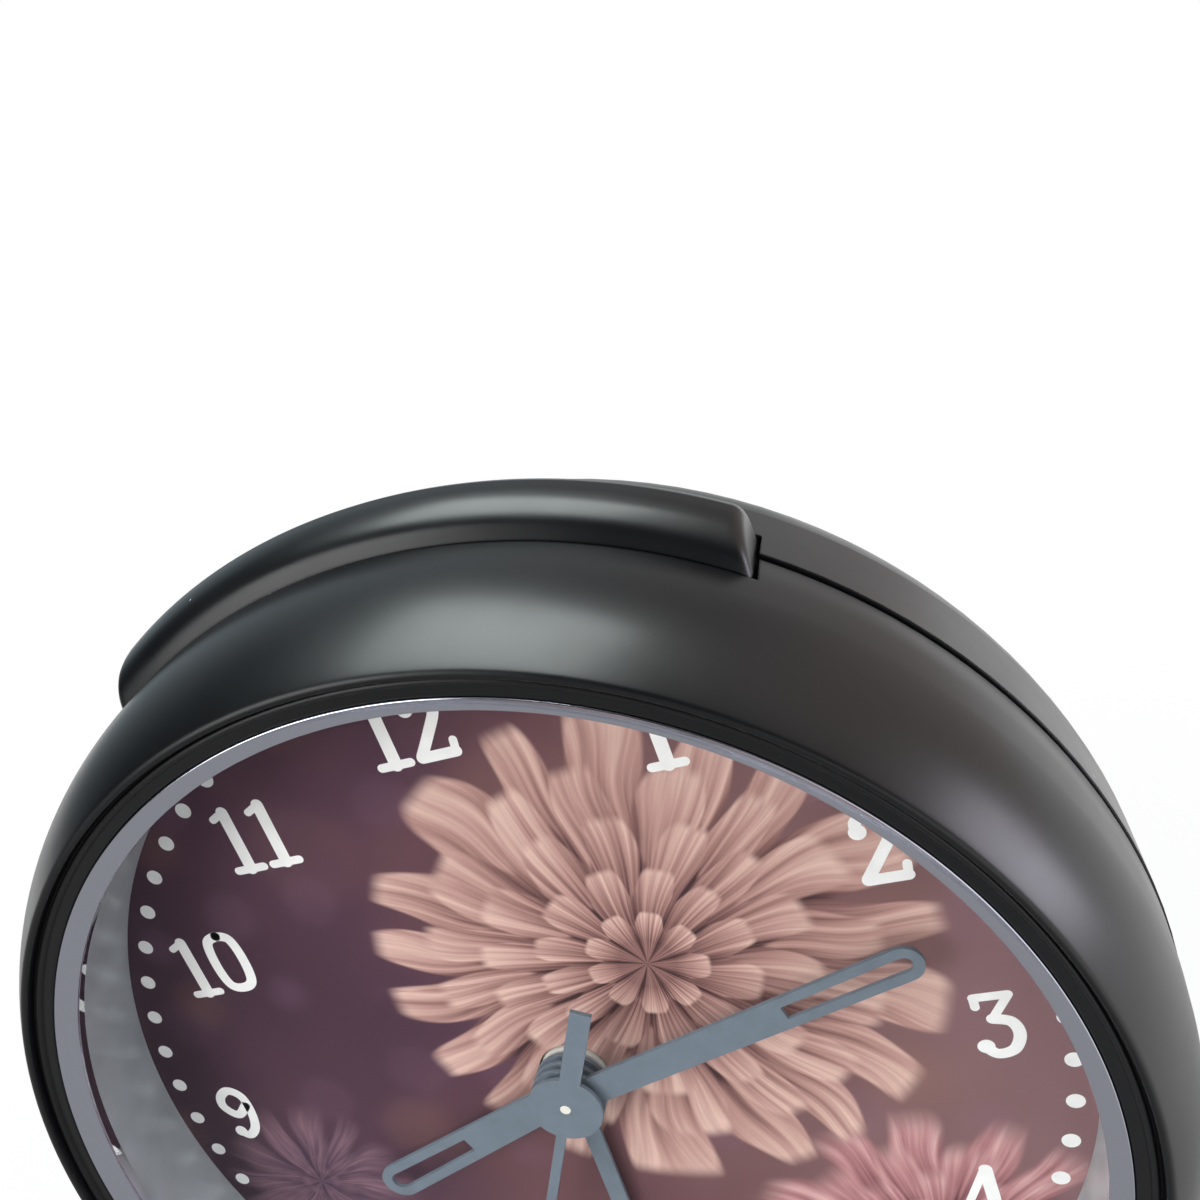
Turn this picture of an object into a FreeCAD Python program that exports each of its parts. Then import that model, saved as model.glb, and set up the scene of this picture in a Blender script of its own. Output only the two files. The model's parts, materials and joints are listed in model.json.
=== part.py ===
"""Round bedside alarm clock with a picture dial and a long snooze bar on top.

Everything is drawn about the dial axis, which runs front to back along Y, with the dial's
front surface at y = 0, X to the right and Z up. Each finished piece is then moved so that the
clock stands on z = 0, centred on X and Y. Millimetres.
"""
import FreeCAD, Part
import math
import os

V = FreeCAD.Vector

# Front shell: moulded rim around the mirror ring
case_r = 55.0
case_draft = 0.2
front_edge_r = case_r - case_draft
wall = 2.0
seam_y = 3.7
seam_gap = 0.7
rim_front_y = -11.7
rim_band = 7.7
rim_inner_r = case_r - rim_band
rim_lip_wide = 1.9
rim_crease_r = rim_inner_r + rim_lip_wide
rim_crest_step = 0.3
rim_crest_r = rim_crease_r + rim_crest_step
rim_crest_stand = 1.0
rim_crest_y = rim_front_y - rim_crest_stand
rim_roll_r = 0.6
rim_roll_end = 47.0
rim_side_inset = 0.5
rim_side_r = case_r - rim_side_inset
rim_side_y = -3.0
rim_side_bulge = 0.8
rim_lip = 2.0
collar_seat = 1.7
collar_r = rim_inner_r + collar_seat
collar_wall = 1.5
rim_shoulder_drop = 3.6
rim_shoulder_y = rim_front_y + rim_shoulder_drop
rim_shoulder_step = 0.4
rim_inside_r = collar_r + collar_wall + rim_shoulder_step
bead_r = 0.35
bead_gap = 0.55

# Mirror ring behind the lip
ring_lip_wide = 1.7
ring_lip_r = rim_inner_r - ring_lip_wide
ring_lip_drop = 1.05
ring_lip_y = rim_front_y + ring_lip_drop
ring_foot_step = 0.1
ring_foot_r = rim_inner_r - ring_foot_step
ring_back_step = 1.2
ring_back_r = rim_inner_r + ring_back_step
ring_flange = 0.8

# Lens
lens_setback = 0.35
lens_thick = 1.4
lens_clear = 0.03

# Dial card and the plate behind it
card_margin = 0.9
card_r = rim_inner_r + card_margin
card_thick = 0.3
plate_margin = 1.3
plate_r = collar_r + plate_margin
plate_thick = 1.5
stake_r = 0.6
stake_stand = 0.5
stake_count = 3
stake_clear = 0.06

# Rear shell
rear_step = 0.2
rear_r = case_r + rear_step
back_y = 28.0
rear_straight_short = 14.2
rear_straight_y = back_y - rear_straight_short
back_slope = 7.6
back_flat_r = rear_r - back_slope
back_edge = 1.2
rear_bulge_in = 2.2
rear_bulge_r = rear_r - rear_bulge_in
rear_bulge_short = 6.6
rear_bulge_y = back_y - rear_bulge_short
spigot_clear = 0.12
spigot_wall = 1.4
spigot_reach = 2.8

# Screw posts and the screws that join the shells
post_count = 4
post_inset = 4.3
post_at_r = case_r - post_inset
post_r = 2.0
post_front_y = -2.0
post_end_y = 6.0
post_gap = 0.1
notch_clear = 0.25
column_r = 3.6
screw_well_r = 2.7
screw_seat_y = 12.0
screw_head_r = 2.4
screw_head = 1.8
screw_shank_r = 1.2
screw_tip_y = 0.6
screw_hole_clear = 0.1
drive_slot = 0.6
drive_reach_share = 0.6

# Snooze bar: a long arched press bar across the seam
bar_front_y = 0.2
bar_foot_r = front_edge_r
bar_brow_rise = 2.3
bar_brow_r = case_r + bar_brow_rise
bar_brow_y = 1.6
bar_crest_rise = 3.4
bar_crest_r = case_r + bar_crest_rise
bar_crest_y = 4.27
bar_back_rise = 2.5
bar_back_r = case_r + bar_back_rise
bar_back_y = 6.6
bar_heel_rise = 0.6
bar_heel_r = case_r + bar_heel_rise
bar_heel_y = 8.0
bar_lip_swell = 0.25
bar_top_swell = 0.125
bar_half_x = 29.6
bar_skirt_sunk = 2.8
bar_skirt_r = case_r - bar_skirt_sunk
bar_wall = 1.5
bar_slot_clear = 0.35
bar_travel = 1.5

# Stem, legs and springs under the bar
stem_half = 1.4
stem_gap = 2.0
leg_inset = 7.6
leg_x = bar_half_x - leg_inset
leg_wall = 1.4
leg_half_y = 1.0
hook = 1.0
hook_tall = 1.6
hook_gap = 0.1
bar_mid_y = 4.4
spring_inset = 7.0
spring_x = leg_x - spring_inset
spring_r = 1.45
spring_wire_r = 0.25
spring_turns = 6
spring_seat_gap = 0.1

# Shelf, little board and switch under the stem
shelf_depth = 13.3
shelf_top_z = case_r - shelf_depth
shelf_thick = 1.3
shelf_inset = 0.4
shelf_half_x = leg_x - shelf_inset
shelf_front_y = 2.1
leg_slot_clear = 0.3
board_half_x = 7.0
board_deep = 8.0
board_thick = 0.8
switch_half = 2.2
switch_tall = 3.2
switch_cap_r = 1.5
switch_cap = 0.7
stem_foot_z = shelf_top_z + board_thick + switch_tall + switch_cap + stem_gap

# Movement case
movement_side = 2.1
movement_top_z = 26.0
movement_low_z = -22.8
movement_front_y = 1.8
movement_plate = 1.4
movement_split_y = 9.2
movement_back_y = 16.2
movement_cover = 1.2
movement_wall = 1.0
bush_r = 3.4
bush_front_y = -0.4
bush_clear = 0.2
ear_long = 6.5
ear_half_z = 3.5
ear_thick = 1.4
ear_screw_out = 3.5
ear_screw_head_r = 1.7
ear_screw_head = 1.1
ear_screw_shank_r = 0.9
ear_screw_sunk = 1.0

# Wheels: the levels follow one another from the front to the back
wheel_thick = 0.8
wheel_gap = 0.4
first_level_y = 3.8
tooth_module = 0.25
motion_module = 0.3
tooth_root_share = 0.50
tooth_tip_share = 0.16
addendum_share = 0.85
dedendum_share = 1.25
arbor_r = 0.5
pivot_clear = 0.05
pivot_boss_r = 1.2
run_clear = 0.05
pipe_wall = 0.5
pipe_step = 0.05

seconds_teeth = 80
seconds_pinion_teeth = 10
third_teeth = 80
third_pinion_teeth = 10
centre_teeth = 75
fifth_teeth = 45
fifth_pinion_teeth = 10
rotor_teeth = 12
minute_teeth = 12
motion_teeth = 36
motion_pinion_teeth = 10
hour_teeth = 40
setting_teeth = 12
alarm_teeth = 36
alarm_pinion_teeth = 60
motion_post_r = 0.8

# Rotor, stator, coil and circuit
magnet_r = 2.8
magnet_thick = 1.9
stator_thick = 0.8
stator_clear = 0.5
stator_margin = 2.6
coil_r = 3.0
coil_core_r = 1.1
coil_half_x = 9.0
coil_x = -6.0
coil_z = 21.4
coil_y = 9.5
coil_flange = 0.8
coil_flange_r = 3.6
circuit_inset = 1.5
circuit_wide = 12.0
circuit_low_z = -6.0
circuit_tall = 14.0
circuit_thick = 0.8
chip_r = 2.6
chip_tall = 1.0
crystal_r = 1.0
crystal_long = 6.0

# Hands, front faces measured from the dial
hand_thick = 0.4
hand_gap = 0.6
hub_r = 3.6
hub_tall = 0.3
minute_short = 10.1
minute_long = rim_inner_r - minute_short
minute_wide = 3.4
minute_root_wide = 3.0
minute_slot_from = 24.0
minute_bar = 0.95
hour_short = 20.8
hour_long = rim_inner_r - hour_short
hour_wide = 4.2
hour_root_wide = 3.4
hour_slot_from = 14.0
hour_bar = 1.1
alarm_short = 25.3
alarm_long = rim_inner_r - alarm_short
alarm_wide = 1.8
seconds_short = 8.3
seconds_long = rim_inner_r - seconds_short
seconds_wide = 1.0
seconds_tail = 12.0
minute_angle = 70.9
hour_angle = 245.9
alarm_angle = 180.0
seconds_angle = 205.0

# Knobs on the back
knob_r = 6.4
knob_tall = 4.4
knob_gap = 0.6
knob_flutes = 18
knob_flute_r = 0.75
knob_socket = 3.0
knob_round = 0.6
shaft_r = 1.4
shaft_hole_clear = 0.5
fit_clear = 0.02

# Alarm switch on the back
slide_x = 27.5
slide_z = 14.0
slide_half_x = 1.6
slide_half_z = 1.4
slide_stand = 1.3
slide_travel = 3.0
slide_slot_clear = 0.3
slide_plate = 1.1
slide_plate_over = 2.4
slide_body_deep = 4.0
slide_body_over = 5.0
slide_rail = 1.0
slide_gap = 0.1

# Sounder and its holes
sounder_drop = 10.7
sounder_z = shelf_top_z - sounder_drop
sounder_r = 8.8
sounder_deep = 4.6
sounder_wall = 1.2
sounder_clear = 0.1
sound_hole_r = 0.8
sound_pitch = 3.2
sound_rings = 2

# Battery, contacts and door
cell_r = 7.15
cell_long = 49.5
cell_nub_r = 2.7
cell_nub = 1.0
cell_inset = 9.45
cell_y = back_y - cell_inset
cell_rise = 23.8
cell_z = cell_rise - case_r
bay_end = 2.65
bay_half_x = cell_long / 2 + bay_end
bay_clear = 0.25
bay_wall = 0.9
bay_step = 1.0
door_thick = 1.6
door_clear = 0.25
door_over = 1.0
door_grip = 7.0
door_grip_ridge = 0.5
door_grip_count = 4
contact_thick = 0.3
contact_half = 4.5
contact_spring_r = 3.2
contact_wire_r = 0.3
contact_turns = 3

# Feet
foot_x = 24.0
foot_half_x = 5.0
foot_half_y = 3.6
foot_front_y = -3.0
foot_rear_y = 13.5
foot_stand = 1.4
foot_drop = case_r + foot_stand
foot_sunk = 1.6
foot_root_r = case_r - foot_sunk
pad_inset = 0.8
pad_thick = 0.8

# One overrun serves every cut
over = 1.0

stand_z = foot_drop + pad_thick
front_most_y = rim_crest_y
knob_front_y = back_y + knob_gap
knob_back_y = knob_front_y + knob_tall
dial_y = -(front_most_y + knob_back_y) / 2
home = V(0, dial_y, stand_z)
axis_dir = V(0, 1, 0)


def level(number):
    """Front face of one of the wheel levels, counted from the front."""
    return first_level_y + number * (wheel_thick + wheel_gap)


alarm_level, hour_level, motion_level, centre_level = level(0), level(1), level(2), level(3)
third_level, seconds_level, fifth_level, rotor_level = level(4), level(5), level(6), level(7)

# Where the arbors stand, from the tooth counts
train_spread = tooth_module * (seconds_pinion_teeth + third_teeth) / 2
centre_module = 2 * train_spread / (third_pinion_teeth + centre_teeth)
fifth_spread = tooth_module * (fifth_pinion_teeth + seconds_teeth) / 2
rotor_spread = tooth_module * (rotor_teeth + fifth_teeth) / 2
motion_spread = motion_module * (minute_teeth + motion_teeth) / 2
hour_module = 2 * motion_spread / (motion_pinion_teeth + hour_teeth)
setting_spread = motion_module * (setting_teeth + motion_teeth) / 2
alarm_spread = motion_module * (alarm_teeth + alarm_pinion_teeth) / 2
third_at = (0, -train_spread)
fifth_at = (0, fifth_spread)
rotor_at = (rotor_spread, fifth_spread)
motion_at = (-motion_spread, 0)
setting_at = (-motion_spread - setting_spread, 0)
alarm_at = (alarm_spread, 0)

# The movement case clears its widest wheel, and what is fixed at its sides follows
movement_half_x = alarm_spread + motion_module * alarm_pinion_teeth / 2 + movement_side
ear_screw_x = movement_half_x + ear_screw_out
circuit_x = circuit_inset - movement_half_x

# Pipes that nest around the seconds arbor
minute_in = arbor_r + pipe_step
minute_out = minute_in + pipe_wall
hour_in = minute_out + pipe_step
hour_out = hour_in + pipe_wall
alarm_in = hour_out + pipe_step
alarm_out = alarm_in + pipe_wall
alarm_hand_y = bush_front_y - bush_clear - hub_tall - hand_thick
hour_hand_y = alarm_hand_y - hand_thick - hand_gap
minute_hand_y = hour_hand_y - hand_thick - hand_gap
seconds_hand_y = minute_hand_y - hand_thick - hand_gap

inner_back_y = back_y - wall
pinion_thick = wheel_thick + wheel_gap
plate_back_y = card_thick + plate_thick
cover_in_y = movement_back_y - movement_cover
tray_in_y = movement_front_y + movement_plate


def disc(r, y0, y1, at=(0, 0)):
    """Round bar along the dial axis from y0 to y1."""
    return Part.makeCylinder(r, y1 - y0, V(at[0], y0, at[1]), axis_dir)


def tube(r_out, r_in, y0, y1, at=(0, 0)):
    """Hollow round bar along the dial axis."""
    return disc(r_out, y0, y1, at).cut(disc(r_in, y0 - over, y1 + over, at))


def block(x0, x1, y0, y1, z0, z1):
    """Box between two corners."""
    return Part.makeBox(x1 - x0, y1 - y0, z1 - z0, V(x0, y0, z0))


def spun(steps):
    """Full turn of an outline of (r, y) points; a triple entry is the middle of an arc."""
    edges = []
    start = steps[0]
    middle = None
    for step in steps[1:] + steps[:1]:
        if len(step) == 3:
            middle = step
            continue
        a = V(start[0], start[1], 0)
        b = V(step[0], step[1], 0)
        if middle:
            edges.append(Part.Arc(a, V(middle[0], middle[1], 0), b).toShape())
            middle = None
        else:
            edges.append(Part.LineSegment(a, b).toShape())
        start = step
    face = Part.Face(Part.Wire(edges))
    return face.revolve(V(0, 0, 0), axis_dir, 360)


def polar(r, degrees):
    """Point on a circle about the axis, clockwise from twelve as seen from the front."""
    turn = math.radians(degrees)
    return (r * math.sin(turn), r * math.cos(turn))


def spaced(count, start=0.0):
    """Evenly spaced angles around the clock."""
    return [start + 360.0 * k / count for k in range(count)]


def joined(shapes):
    """One solid from touching shapes."""
    whole = shapes[0]
    for piece in shapes[1:]:
        whole = whole.fuse(piece)
    return whole.removeSplitter()


def gear(teeth, module, y0, at=(0, 0), bore=0.0, phase=0.0, thick=wheel_thick):
    """Spur wheel with straight-sided teeth; phase turns it, in degrees from +X towards +Z."""
    pitch_r = module * teeth / 2
    tip_r = pitch_r + addendum_share * module
    root_r = pitch_r - dedendum_share * module
    step = 2 * math.pi / teeth
    points = []
    for k in range(teeth):
        mid = math.radians(phase) + k * step
        for r, share in ((root_r, -tooth_root_share), (tip_r, -tooth_tip_share),
                         (tip_r, tooth_tip_share), (root_r, tooth_root_share)):
            angle = mid + share * step / 2
            points.append(V(at[0] + r * math.cos(angle), y0, at[1] + r * math.sin(angle)))
    face = Part.Face(Part.makePolygon(points + points[:1]))
    body = face.extrude(V(0, thick, 0))
    if bore > 0:
        body = body.cut(disc(bore, y0 - over, y0 + thick + over, at))
    return body


def meshed(teeth, toward):
    """Phase that puts a gap, not a tooth, in the given direction."""
    return toward + 180.0 / teeth


def screw(at, head_y, head, head_r, shank_r, tip_y):
    """Cross-slotted screw driven in from the back."""
    body = disc(head_r, head_y, head_y + head, at).fuse(disc(shank_r, tip_y, head_y, at))
    reach = head_r * drive_reach_share
    half = drive_slot / 2
    low = head_y + head / 2
    top = head_y + head + over
    body = body.cut(block(at[0] - reach, at[0] + reach, low, top, at[1] - half, at[1] + half))
    return body.cut(block(at[0] - half, at[0] + half, low, top, at[1] - reach, at[1] + reach))


def coil(r, wire_r, turns, base, top, at_x, at_y):
    """Upright helical spring of round wire between two heights."""
    tall = top - base - 2 * wire_r
    helix = Part.makeHelix(tall / turns, tall, r)
    circle = Part.Wire(Part.makeCircle(wire_r, V(r, 0, 0), axis_dir))
    spring = Part.Wire(helix.Edges).makePipeShell([circle], True, True)
    spring.translate(V(at_x, at_y, base + wire_r))
    return spring


def post_places():
    """The four screw posts near the rim."""
    return [polar(post_at_r, a) for a in spaced(post_count, 180.0 / post_count)]


def stake_places():
    """The heat stakes that hold the dial plate."""
    return [polar(collar_r + collar_wall / 2, a) for a in spaced(stake_count, 180.0 / stake_count)]


def bar_slot():
    """The space that the snooze bar and its travel take out of the two shells."""
    half = bar_half_x + bar_slot_clear
    low = bar_front_y - bar_slot_clear
    high = bar_heel_y + bar_slot_clear
    return block(-half, half, low, high, shelf_top_z, bar_crest_r + over)


def foot_lugs(mid_y):
    """Two moulded lugs, with their tops following the round wall."""
    lugs = []
    for side in (-1, 1):
        x = side * foot_x
        lug = block(x - foot_half_x, x + foot_half_x, mid_y - foot_half_y, mid_y + foot_half_y,
                    -foot_drop, -foot_root_r / 2)
        lugs.append(lug.cut(disc(foot_root_r, mid_y - foot_half_y - over, mid_y + foot_half_y + over)))
    return lugs


def make_front_shell():
    """Rim, lip, dial collar, posts and front lugs in one moulding."""
    lip_back_y = rim_front_y + rim_lip
    inner_r = front_edge_r - wall
    roll_y = rim_crest_y + rim_roll_r
    crease_y = roll_y - math.sqrt(rim_roll_r ** 2 - (rim_crest_r - rim_crease_r) ** 2)
    end = math.radians(rim_roll_end)
    roll_end_r = rim_crest_r + rim_roll_r * math.sin(end)
    roll_end_y = roll_y - rim_roll_r * math.cos(end)
    run_r = rim_side_r - roll_end_r
    run_y = rim_side_y - roll_end_y
    run = math.hypot(run_r, run_y)
    middle_r = (rim_side_r + roll_end_r) / 2 + rim_side_bulge * run_y / run
    middle_y = (rim_side_y + roll_end_y) / 2 - rim_side_bulge * run_r / run
    outline = [
        (rim_inner_r, rim_front_y),
        (rim_crease_r - bead_gap - bead_r, rim_front_y),
        (rim_crease_r - bead_gap, rim_front_y - bead_r, "arc"),
        (rim_crease_r - bead_gap + bead_r, rim_front_y),
        (rim_crease_r, rim_front_y),
        (rim_crease_r, crease_y),
        (rim_crest_r, rim_crest_y, "arc"),
        (roll_end_r, roll_end_y),
        (middle_r, middle_y, "arc"),
        (rim_side_r, rim_side_y),
        (front_edge_r, 0),
        (case_r, seam_y),
        (inner_r, seam_y),
        (inner_r, 0),
        (rim_inside_r, rim_shoulder_y),
        (collar_r + collar_wall, lip_back_y),
        (collar_r + collar_wall, card_thick),
        (collar_r, card_thick),
        (collar_r, lip_back_y),
        (rim_inner_r, lip_back_y),
    ]
    shell = spun(outline)
    posts = [disc(post_r, post_front_y, post_end_y, at) for at in post_places()]
    stakes = [disc(stake_r, 0, plate_back_y + stake_stand, at) for at in stake_places()]
    shell = joined([shell] + posts + stakes + foot_lugs(foot_front_y))
    bore = screw_shank_r + screw_hole_clear
    for at in post_places():
        shell = shell.cut(disc(bore, screw_tip_y - over, post_end_y + over, at))
    return shell.cut(bar_slot())


def make_mirror_ring():
    """Plated ring that slopes from the lens lip back to the dial."""
    flange_y = rim_front_y + rim_lip
    return spun([
        (ring_lip_r, ring_lip_y),
        (rim_inner_r - pipe_step, rim_front_y),
        (rim_inner_r - pipe_step, flange_y),
        (rim_inner_r + ring_flange, flange_y),
        (ring_back_r, 0),
        (ring_foot_r, 0),
    ])


def ring_wall_r(y):
    """Inner radius of the mirror ring at a depth."""
    return ring_lip_r + (ring_foot_r - ring_lip_r) * (y - ring_lip_y) / -ring_lip_y


def make_lens():
    """Clear disc held behind the mirror ring's lip."""
    y0 = ring_lip_y + lens_setback
    y1 = y0 + lens_thick
    return spun([(0, y0), (ring_wall_r(y0) - lens_clear, y0), (ring_wall_r(y1) - lens_clear, y1), (0, y1)])


def make_dial_card():
    """Printed card, flat on its plate."""
    return tube(card_r, bush_r + bush_clear, 0, card_thick)


def make_dial_plate():
    """Plate that carries the card and the movement."""
    plate = tube(plate_r, bush_r + bush_clear, card_thick, plate_back_y)
    for at in post_places():
        plate = plate.cut(disc(post_r + notch_clear, 0, plate_back_y + over, at))
    for at in stake_places():
        plate = plate.cut(disc(stake_r + stake_clear, 0, plate_back_y + over, at))
    boss_y = movement_front_y + movement_plate
    for side in (-1, 1):
        at = (side * ear_screw_x, 0)
        plate = plate.fuse(disc(ear_screw_head_r + run_clear, plate_back_y, boss_y, at))
        hole_y = boss_y - ear_screw_sunk - wall
        plate = plate.cut(disc(ear_screw_shank_r + run_clear, hole_y, boss_y + over, at))
    return plate.removeSplitter()


def rear_outline():
    """Outside of the rear cup, from the end of its straight wall to the middle of its back."""
    return [
        (rear_r, rear_straight_y),
        (rear_bulge_r, rear_bulge_y, "arc"),
        (back_flat_r + back_edge, back_y - back_edge),
        (back_flat_r, back_y),
        (0, back_y),
    ]


def make_rear_shell():
    """Rear cup with its shelf, columns, battery bay, sounder ring, switch rails and lugs."""
    start_y = seam_y + seam_gap
    spigot_r = front_edge_r - wall - spigot_clear
    spigot_in = spigot_r - spigot_wall
    inner_r = rear_r - wall
    shell = spun([(rear_r, start_y)] + rear_outline() + [
        (0, inner_back_y),
        (back_flat_r - wall, inner_back_y),
        (rear_bulge_r - wall, rear_bulge_y - wall / 2, "arc"),
        (inner_r, rear_straight_y),
        (inner_r, start_y + wall),
        (spigot_in, start_y),
        (spigot_in, start_y - spigot_reach),
        (spigot_r, start_y - spigot_reach),
        (spigot_r, start_y),
    ])
    outside = spun([(0, start_y), (rear_r, start_y)] + rear_outline())
    shelf = block(-shelf_half_x, shelf_half_x, shelf_front_y, inner_back_y + over,
                  shelf_top_z - shelf_thick, shelf_top_z)
    sounder_at = (0, sounder_z)
    ring_r = sounder_r + sounder_clear + sounder_wall
    ring = tube(ring_r, sounder_r + sounder_clear, inner_back_y - sounder_deep, inner_back_y + over / 2,
                sounder_at)
    extras = [shelf, ring] + foot_lugs(foot_rear_y)
    for at in post_places():
        column = disc(column_r, post_end_y + post_gap, back_y, at)
        extras.append(column.common(outside))
    for side in (-1, 1):
        edge = slide_z + side * (slide_half_z + slide_plate_over + slide_gap)
        low, high = sorted((edge, edge + side * slide_rail))
        extras.append(block(slide_x - slide_body_over, slide_x + slide_travel + slide_body_over,
                            inner_back_y - slide_plate - slide_gap - slide_body_deep,
                            inner_back_y + over / 2, low, high))
    bay_low = cell_z - cell_r - bay_clear
    bay_high = cell_z + cell_r + bay_clear
    bay_front = cell_y - cell_r - bay_clear
    bay = block(-bay_half_x - bay_wall, bay_half_x + bay_wall, bay_front - bay_wall, inner_back_y + over / 2,
                bay_low - bay_wall, bay_high + bay_wall)
    extras.append(bay)
    shell = joined([shell] + extras)
    door_low = bay_low + bay_step
    door_high = bay_high - bay_step
    door_half = bay_half_x - bay_step
    shell = shell.cut(block(-bay_half_x, bay_half_x, bay_front, inner_back_y, bay_low, bay_high))
    shell = shell.cut(block(-door_half, door_half, inner_back_y - over, back_y + over, door_low, door_high))
    recess = door_over + door_clear
    shell = shell.cut(block(-door_half - recess, door_half + recess, back_y - door_thick - door_clear,
                            back_y + over, door_low - recess, door_high + recess))
    for at in post_places():
        shell = shell.cut(disc(screw_well_r, screw_seat_y, back_y + over, at))
        shell = shell.cut(disc(screw_shank_r + screw_hole_clear, 0, screw_seat_y + over, at))
        shell = shell.cut(disc(post_r + notch_clear, 0, post_end_y + post_gap, at))
    for at in (setting_at, alarm_at):
        shell = shell.cut(disc(shaft_r + shaft_hole_clear, inner_back_y - over, back_y + over, at))
    half_x = slide_half_x + slide_slot_clear
    half_z = slide_half_z + slide_slot_clear
    shell = shell.cut(block(slide_x - half_x, slide_x + slide_travel + half_x, inner_back_y - over,
                            back_y + over, slide_z - half_z, slide_z + half_z))
    for ring_no in range(sound_rings + 1):
        for angle in spaced(max(1, sound_rings * 3 * ring_no)):
            x, z = polar(ring_no * sound_pitch, angle)
            shell = shell.cut(disc(sound_hole_r, inner_back_y - over, back_y + over, (x, z + sounder_z)))
    shell = shell.cut(bar_void_low())
    return shell


def bar_void_low():
    """Bar space above the shelf, and a passage for each leg beside it."""
    void = bar_slot()
    for side in (-1, 1):
        inner = leg_x - leg_slot_clear - hook
        outer = leg_x + leg_wall + leg_slot_clear
        low, high = sorted((side * inner, side * outer))
        hook_low = shelf_top_z - shelf_thick - hook_gap - hook_tall - bar_travel - leg_slot_clear
        passage = block(low, high, bar_mid_y - leg_half_y - leg_slot_clear,
                        bar_mid_y + leg_half_y + leg_slot_clear, hook_low, shelf_top_z - shelf_thick)
        void = void.fuse(passage)
    return void


def make_snooze_bar():
    """Hollow arched bar with a stem in the middle and a snap leg near each end."""
    lip_r = (bar_foot_r + bar_brow_r) / 2 + bar_lip_swell
    lip_y = (bar_front_y + bar_brow_y) / 2 - bar_lip_swell
    slope_r = (bar_brow_r + bar_crest_r) / 2 + bar_top_swell
    slope_y = (bar_brow_y + bar_crest_y) / 2 - bar_top_swell
    outer = spun([
        (bar_skirt_r, bar_front_y),
        (bar_foot_r, bar_front_y),
        (lip_r, lip_y, "arc"),
        (bar_brow_r, bar_brow_y),
        (slope_r, slope_y, "arc"),
        (bar_crest_r, bar_crest_y),
        (bar_back_r, bar_back_y),
        (bar_heel_r, bar_heel_y),
        (bar_skirt_r, bar_heel_y),
    ])
    hollow = spun([
        (bar_skirt_r - over, bar_front_y + bar_wall),
        (bar_foot_r - bar_wall / 2, bar_front_y + bar_wall),
        (bar_brow_r - bar_wall, bar_brow_y + bar_wall / 2),
        (bar_crest_r - bar_wall, bar_crest_y),
        (bar_heel_r - bar_wall / 2, bar_heel_y - bar_wall),
        (bar_skirt_r - over, bar_heel_y - bar_wall),
    ])
    top = bar_crest_r + over
    reach = block(-bar_half_x, bar_half_x, 0, bar_heel_y + over, 0, top)
    inside = block(-bar_half_x + bar_wall, bar_half_x - bar_wall, 0, bar_heel_y, 0, top)
    bar = outer.common(reach).cut(hollow.common(inside))
    core = spun([(0, bar_front_y), (bar_foot_r, bar_front_y), (bar_crest_r - bar_wall / 2, bar_crest_y),
                 (bar_heel_r, bar_heel_y), (0, bar_heel_y)])
    stem = block(-stem_half, stem_half, bar_mid_y - stem_half, bar_mid_y + stem_half, stem_foot_z, top)
    parts = [bar, stem.common(core)]
    hook_top = shelf_top_z - shelf_thick - hook_gap
    front_y = bar_mid_y - leg_half_y
    rear_y = bar_mid_y + leg_half_y
    for side in (-1, 1):
        low, high = sorted((side * leg_x, side * (leg_x + leg_wall)))
        leg = block(low, high, front_y, rear_y, hook_top - hook_tall, top)
        parts.append(leg.common(core))
        low, high = sorted((side * (leg_x - hook), side * leg_x))
        parts.append(block(low, high, front_y, rear_y, hook_top - hook_tall, hook_top))
    return joined(parts)


def bar_inner_r(y):
    """Radius of the bar's hollow near its crest, at a depth."""
    if y < bar_crest_y:
        share = (bar_crest_y - y) / (bar_crest_y - bar_brow_y - bar_wall / 2)
        return bar_crest_r - bar_wall - share * (bar_crest_r - bar_brow_r)
    share = (y - bar_crest_y) / (bar_heel_y - bar_wall - bar_crest_y)
    return bar_crest_r - bar_wall - share * (bar_crest_r - bar_wall / 2 - bar_heel_r)


def make_snooze_springs():
    """A return spring each side of the stem, from the shelf to the underside of the bar."""
    corner_x = spring_x + spring_r + spring_wire_r
    ceiling = math.sqrt(bar_inner_r(bar_mid_y + spring_r) ** 2 - corner_x ** 2)
    springs = []
    for side in (-1, 1):
        springs.append(coil(spring_r, spring_wire_r, spring_turns, shelf_top_z + spring_seat_gap,
                            ceiling - spring_seat_gap, side * spring_x, bar_mid_y))
    return Part.makeCompound(springs)


def make_switch_board():
    """Small board on the shelf under the stem."""
    return block(-board_half_x, board_half_x, bar_mid_y - switch_half, bar_mid_y - switch_half + board_deep,
                 shelf_top_z, shelf_top_z + board_thick)


def make_snooze_switch():
    """Press switch that the stem works."""
    base = shelf_top_z + board_thick
    body = block(-switch_half, switch_half, bar_mid_y - switch_half, bar_mid_y + switch_half, base,
                 base + switch_tall)
    cap = Part.makeCylinder(switch_cap_r, switch_cap, V(0, bar_mid_y, base + switch_tall))
    return joined([body, cap])


def movement_ring(y0, y1):
    """Side walls of the movement case between two depths."""
    outer = block(-movement_half_x, movement_half_x, y0, y1, movement_low_z, movement_top_z)
    inner = block(-movement_half_x + movement_wall, movement_half_x - movement_wall, y0 - over, y1 + over,
                  movement_low_z + movement_wall, movement_top_z - movement_wall)
    return outer.cut(inner)


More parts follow.
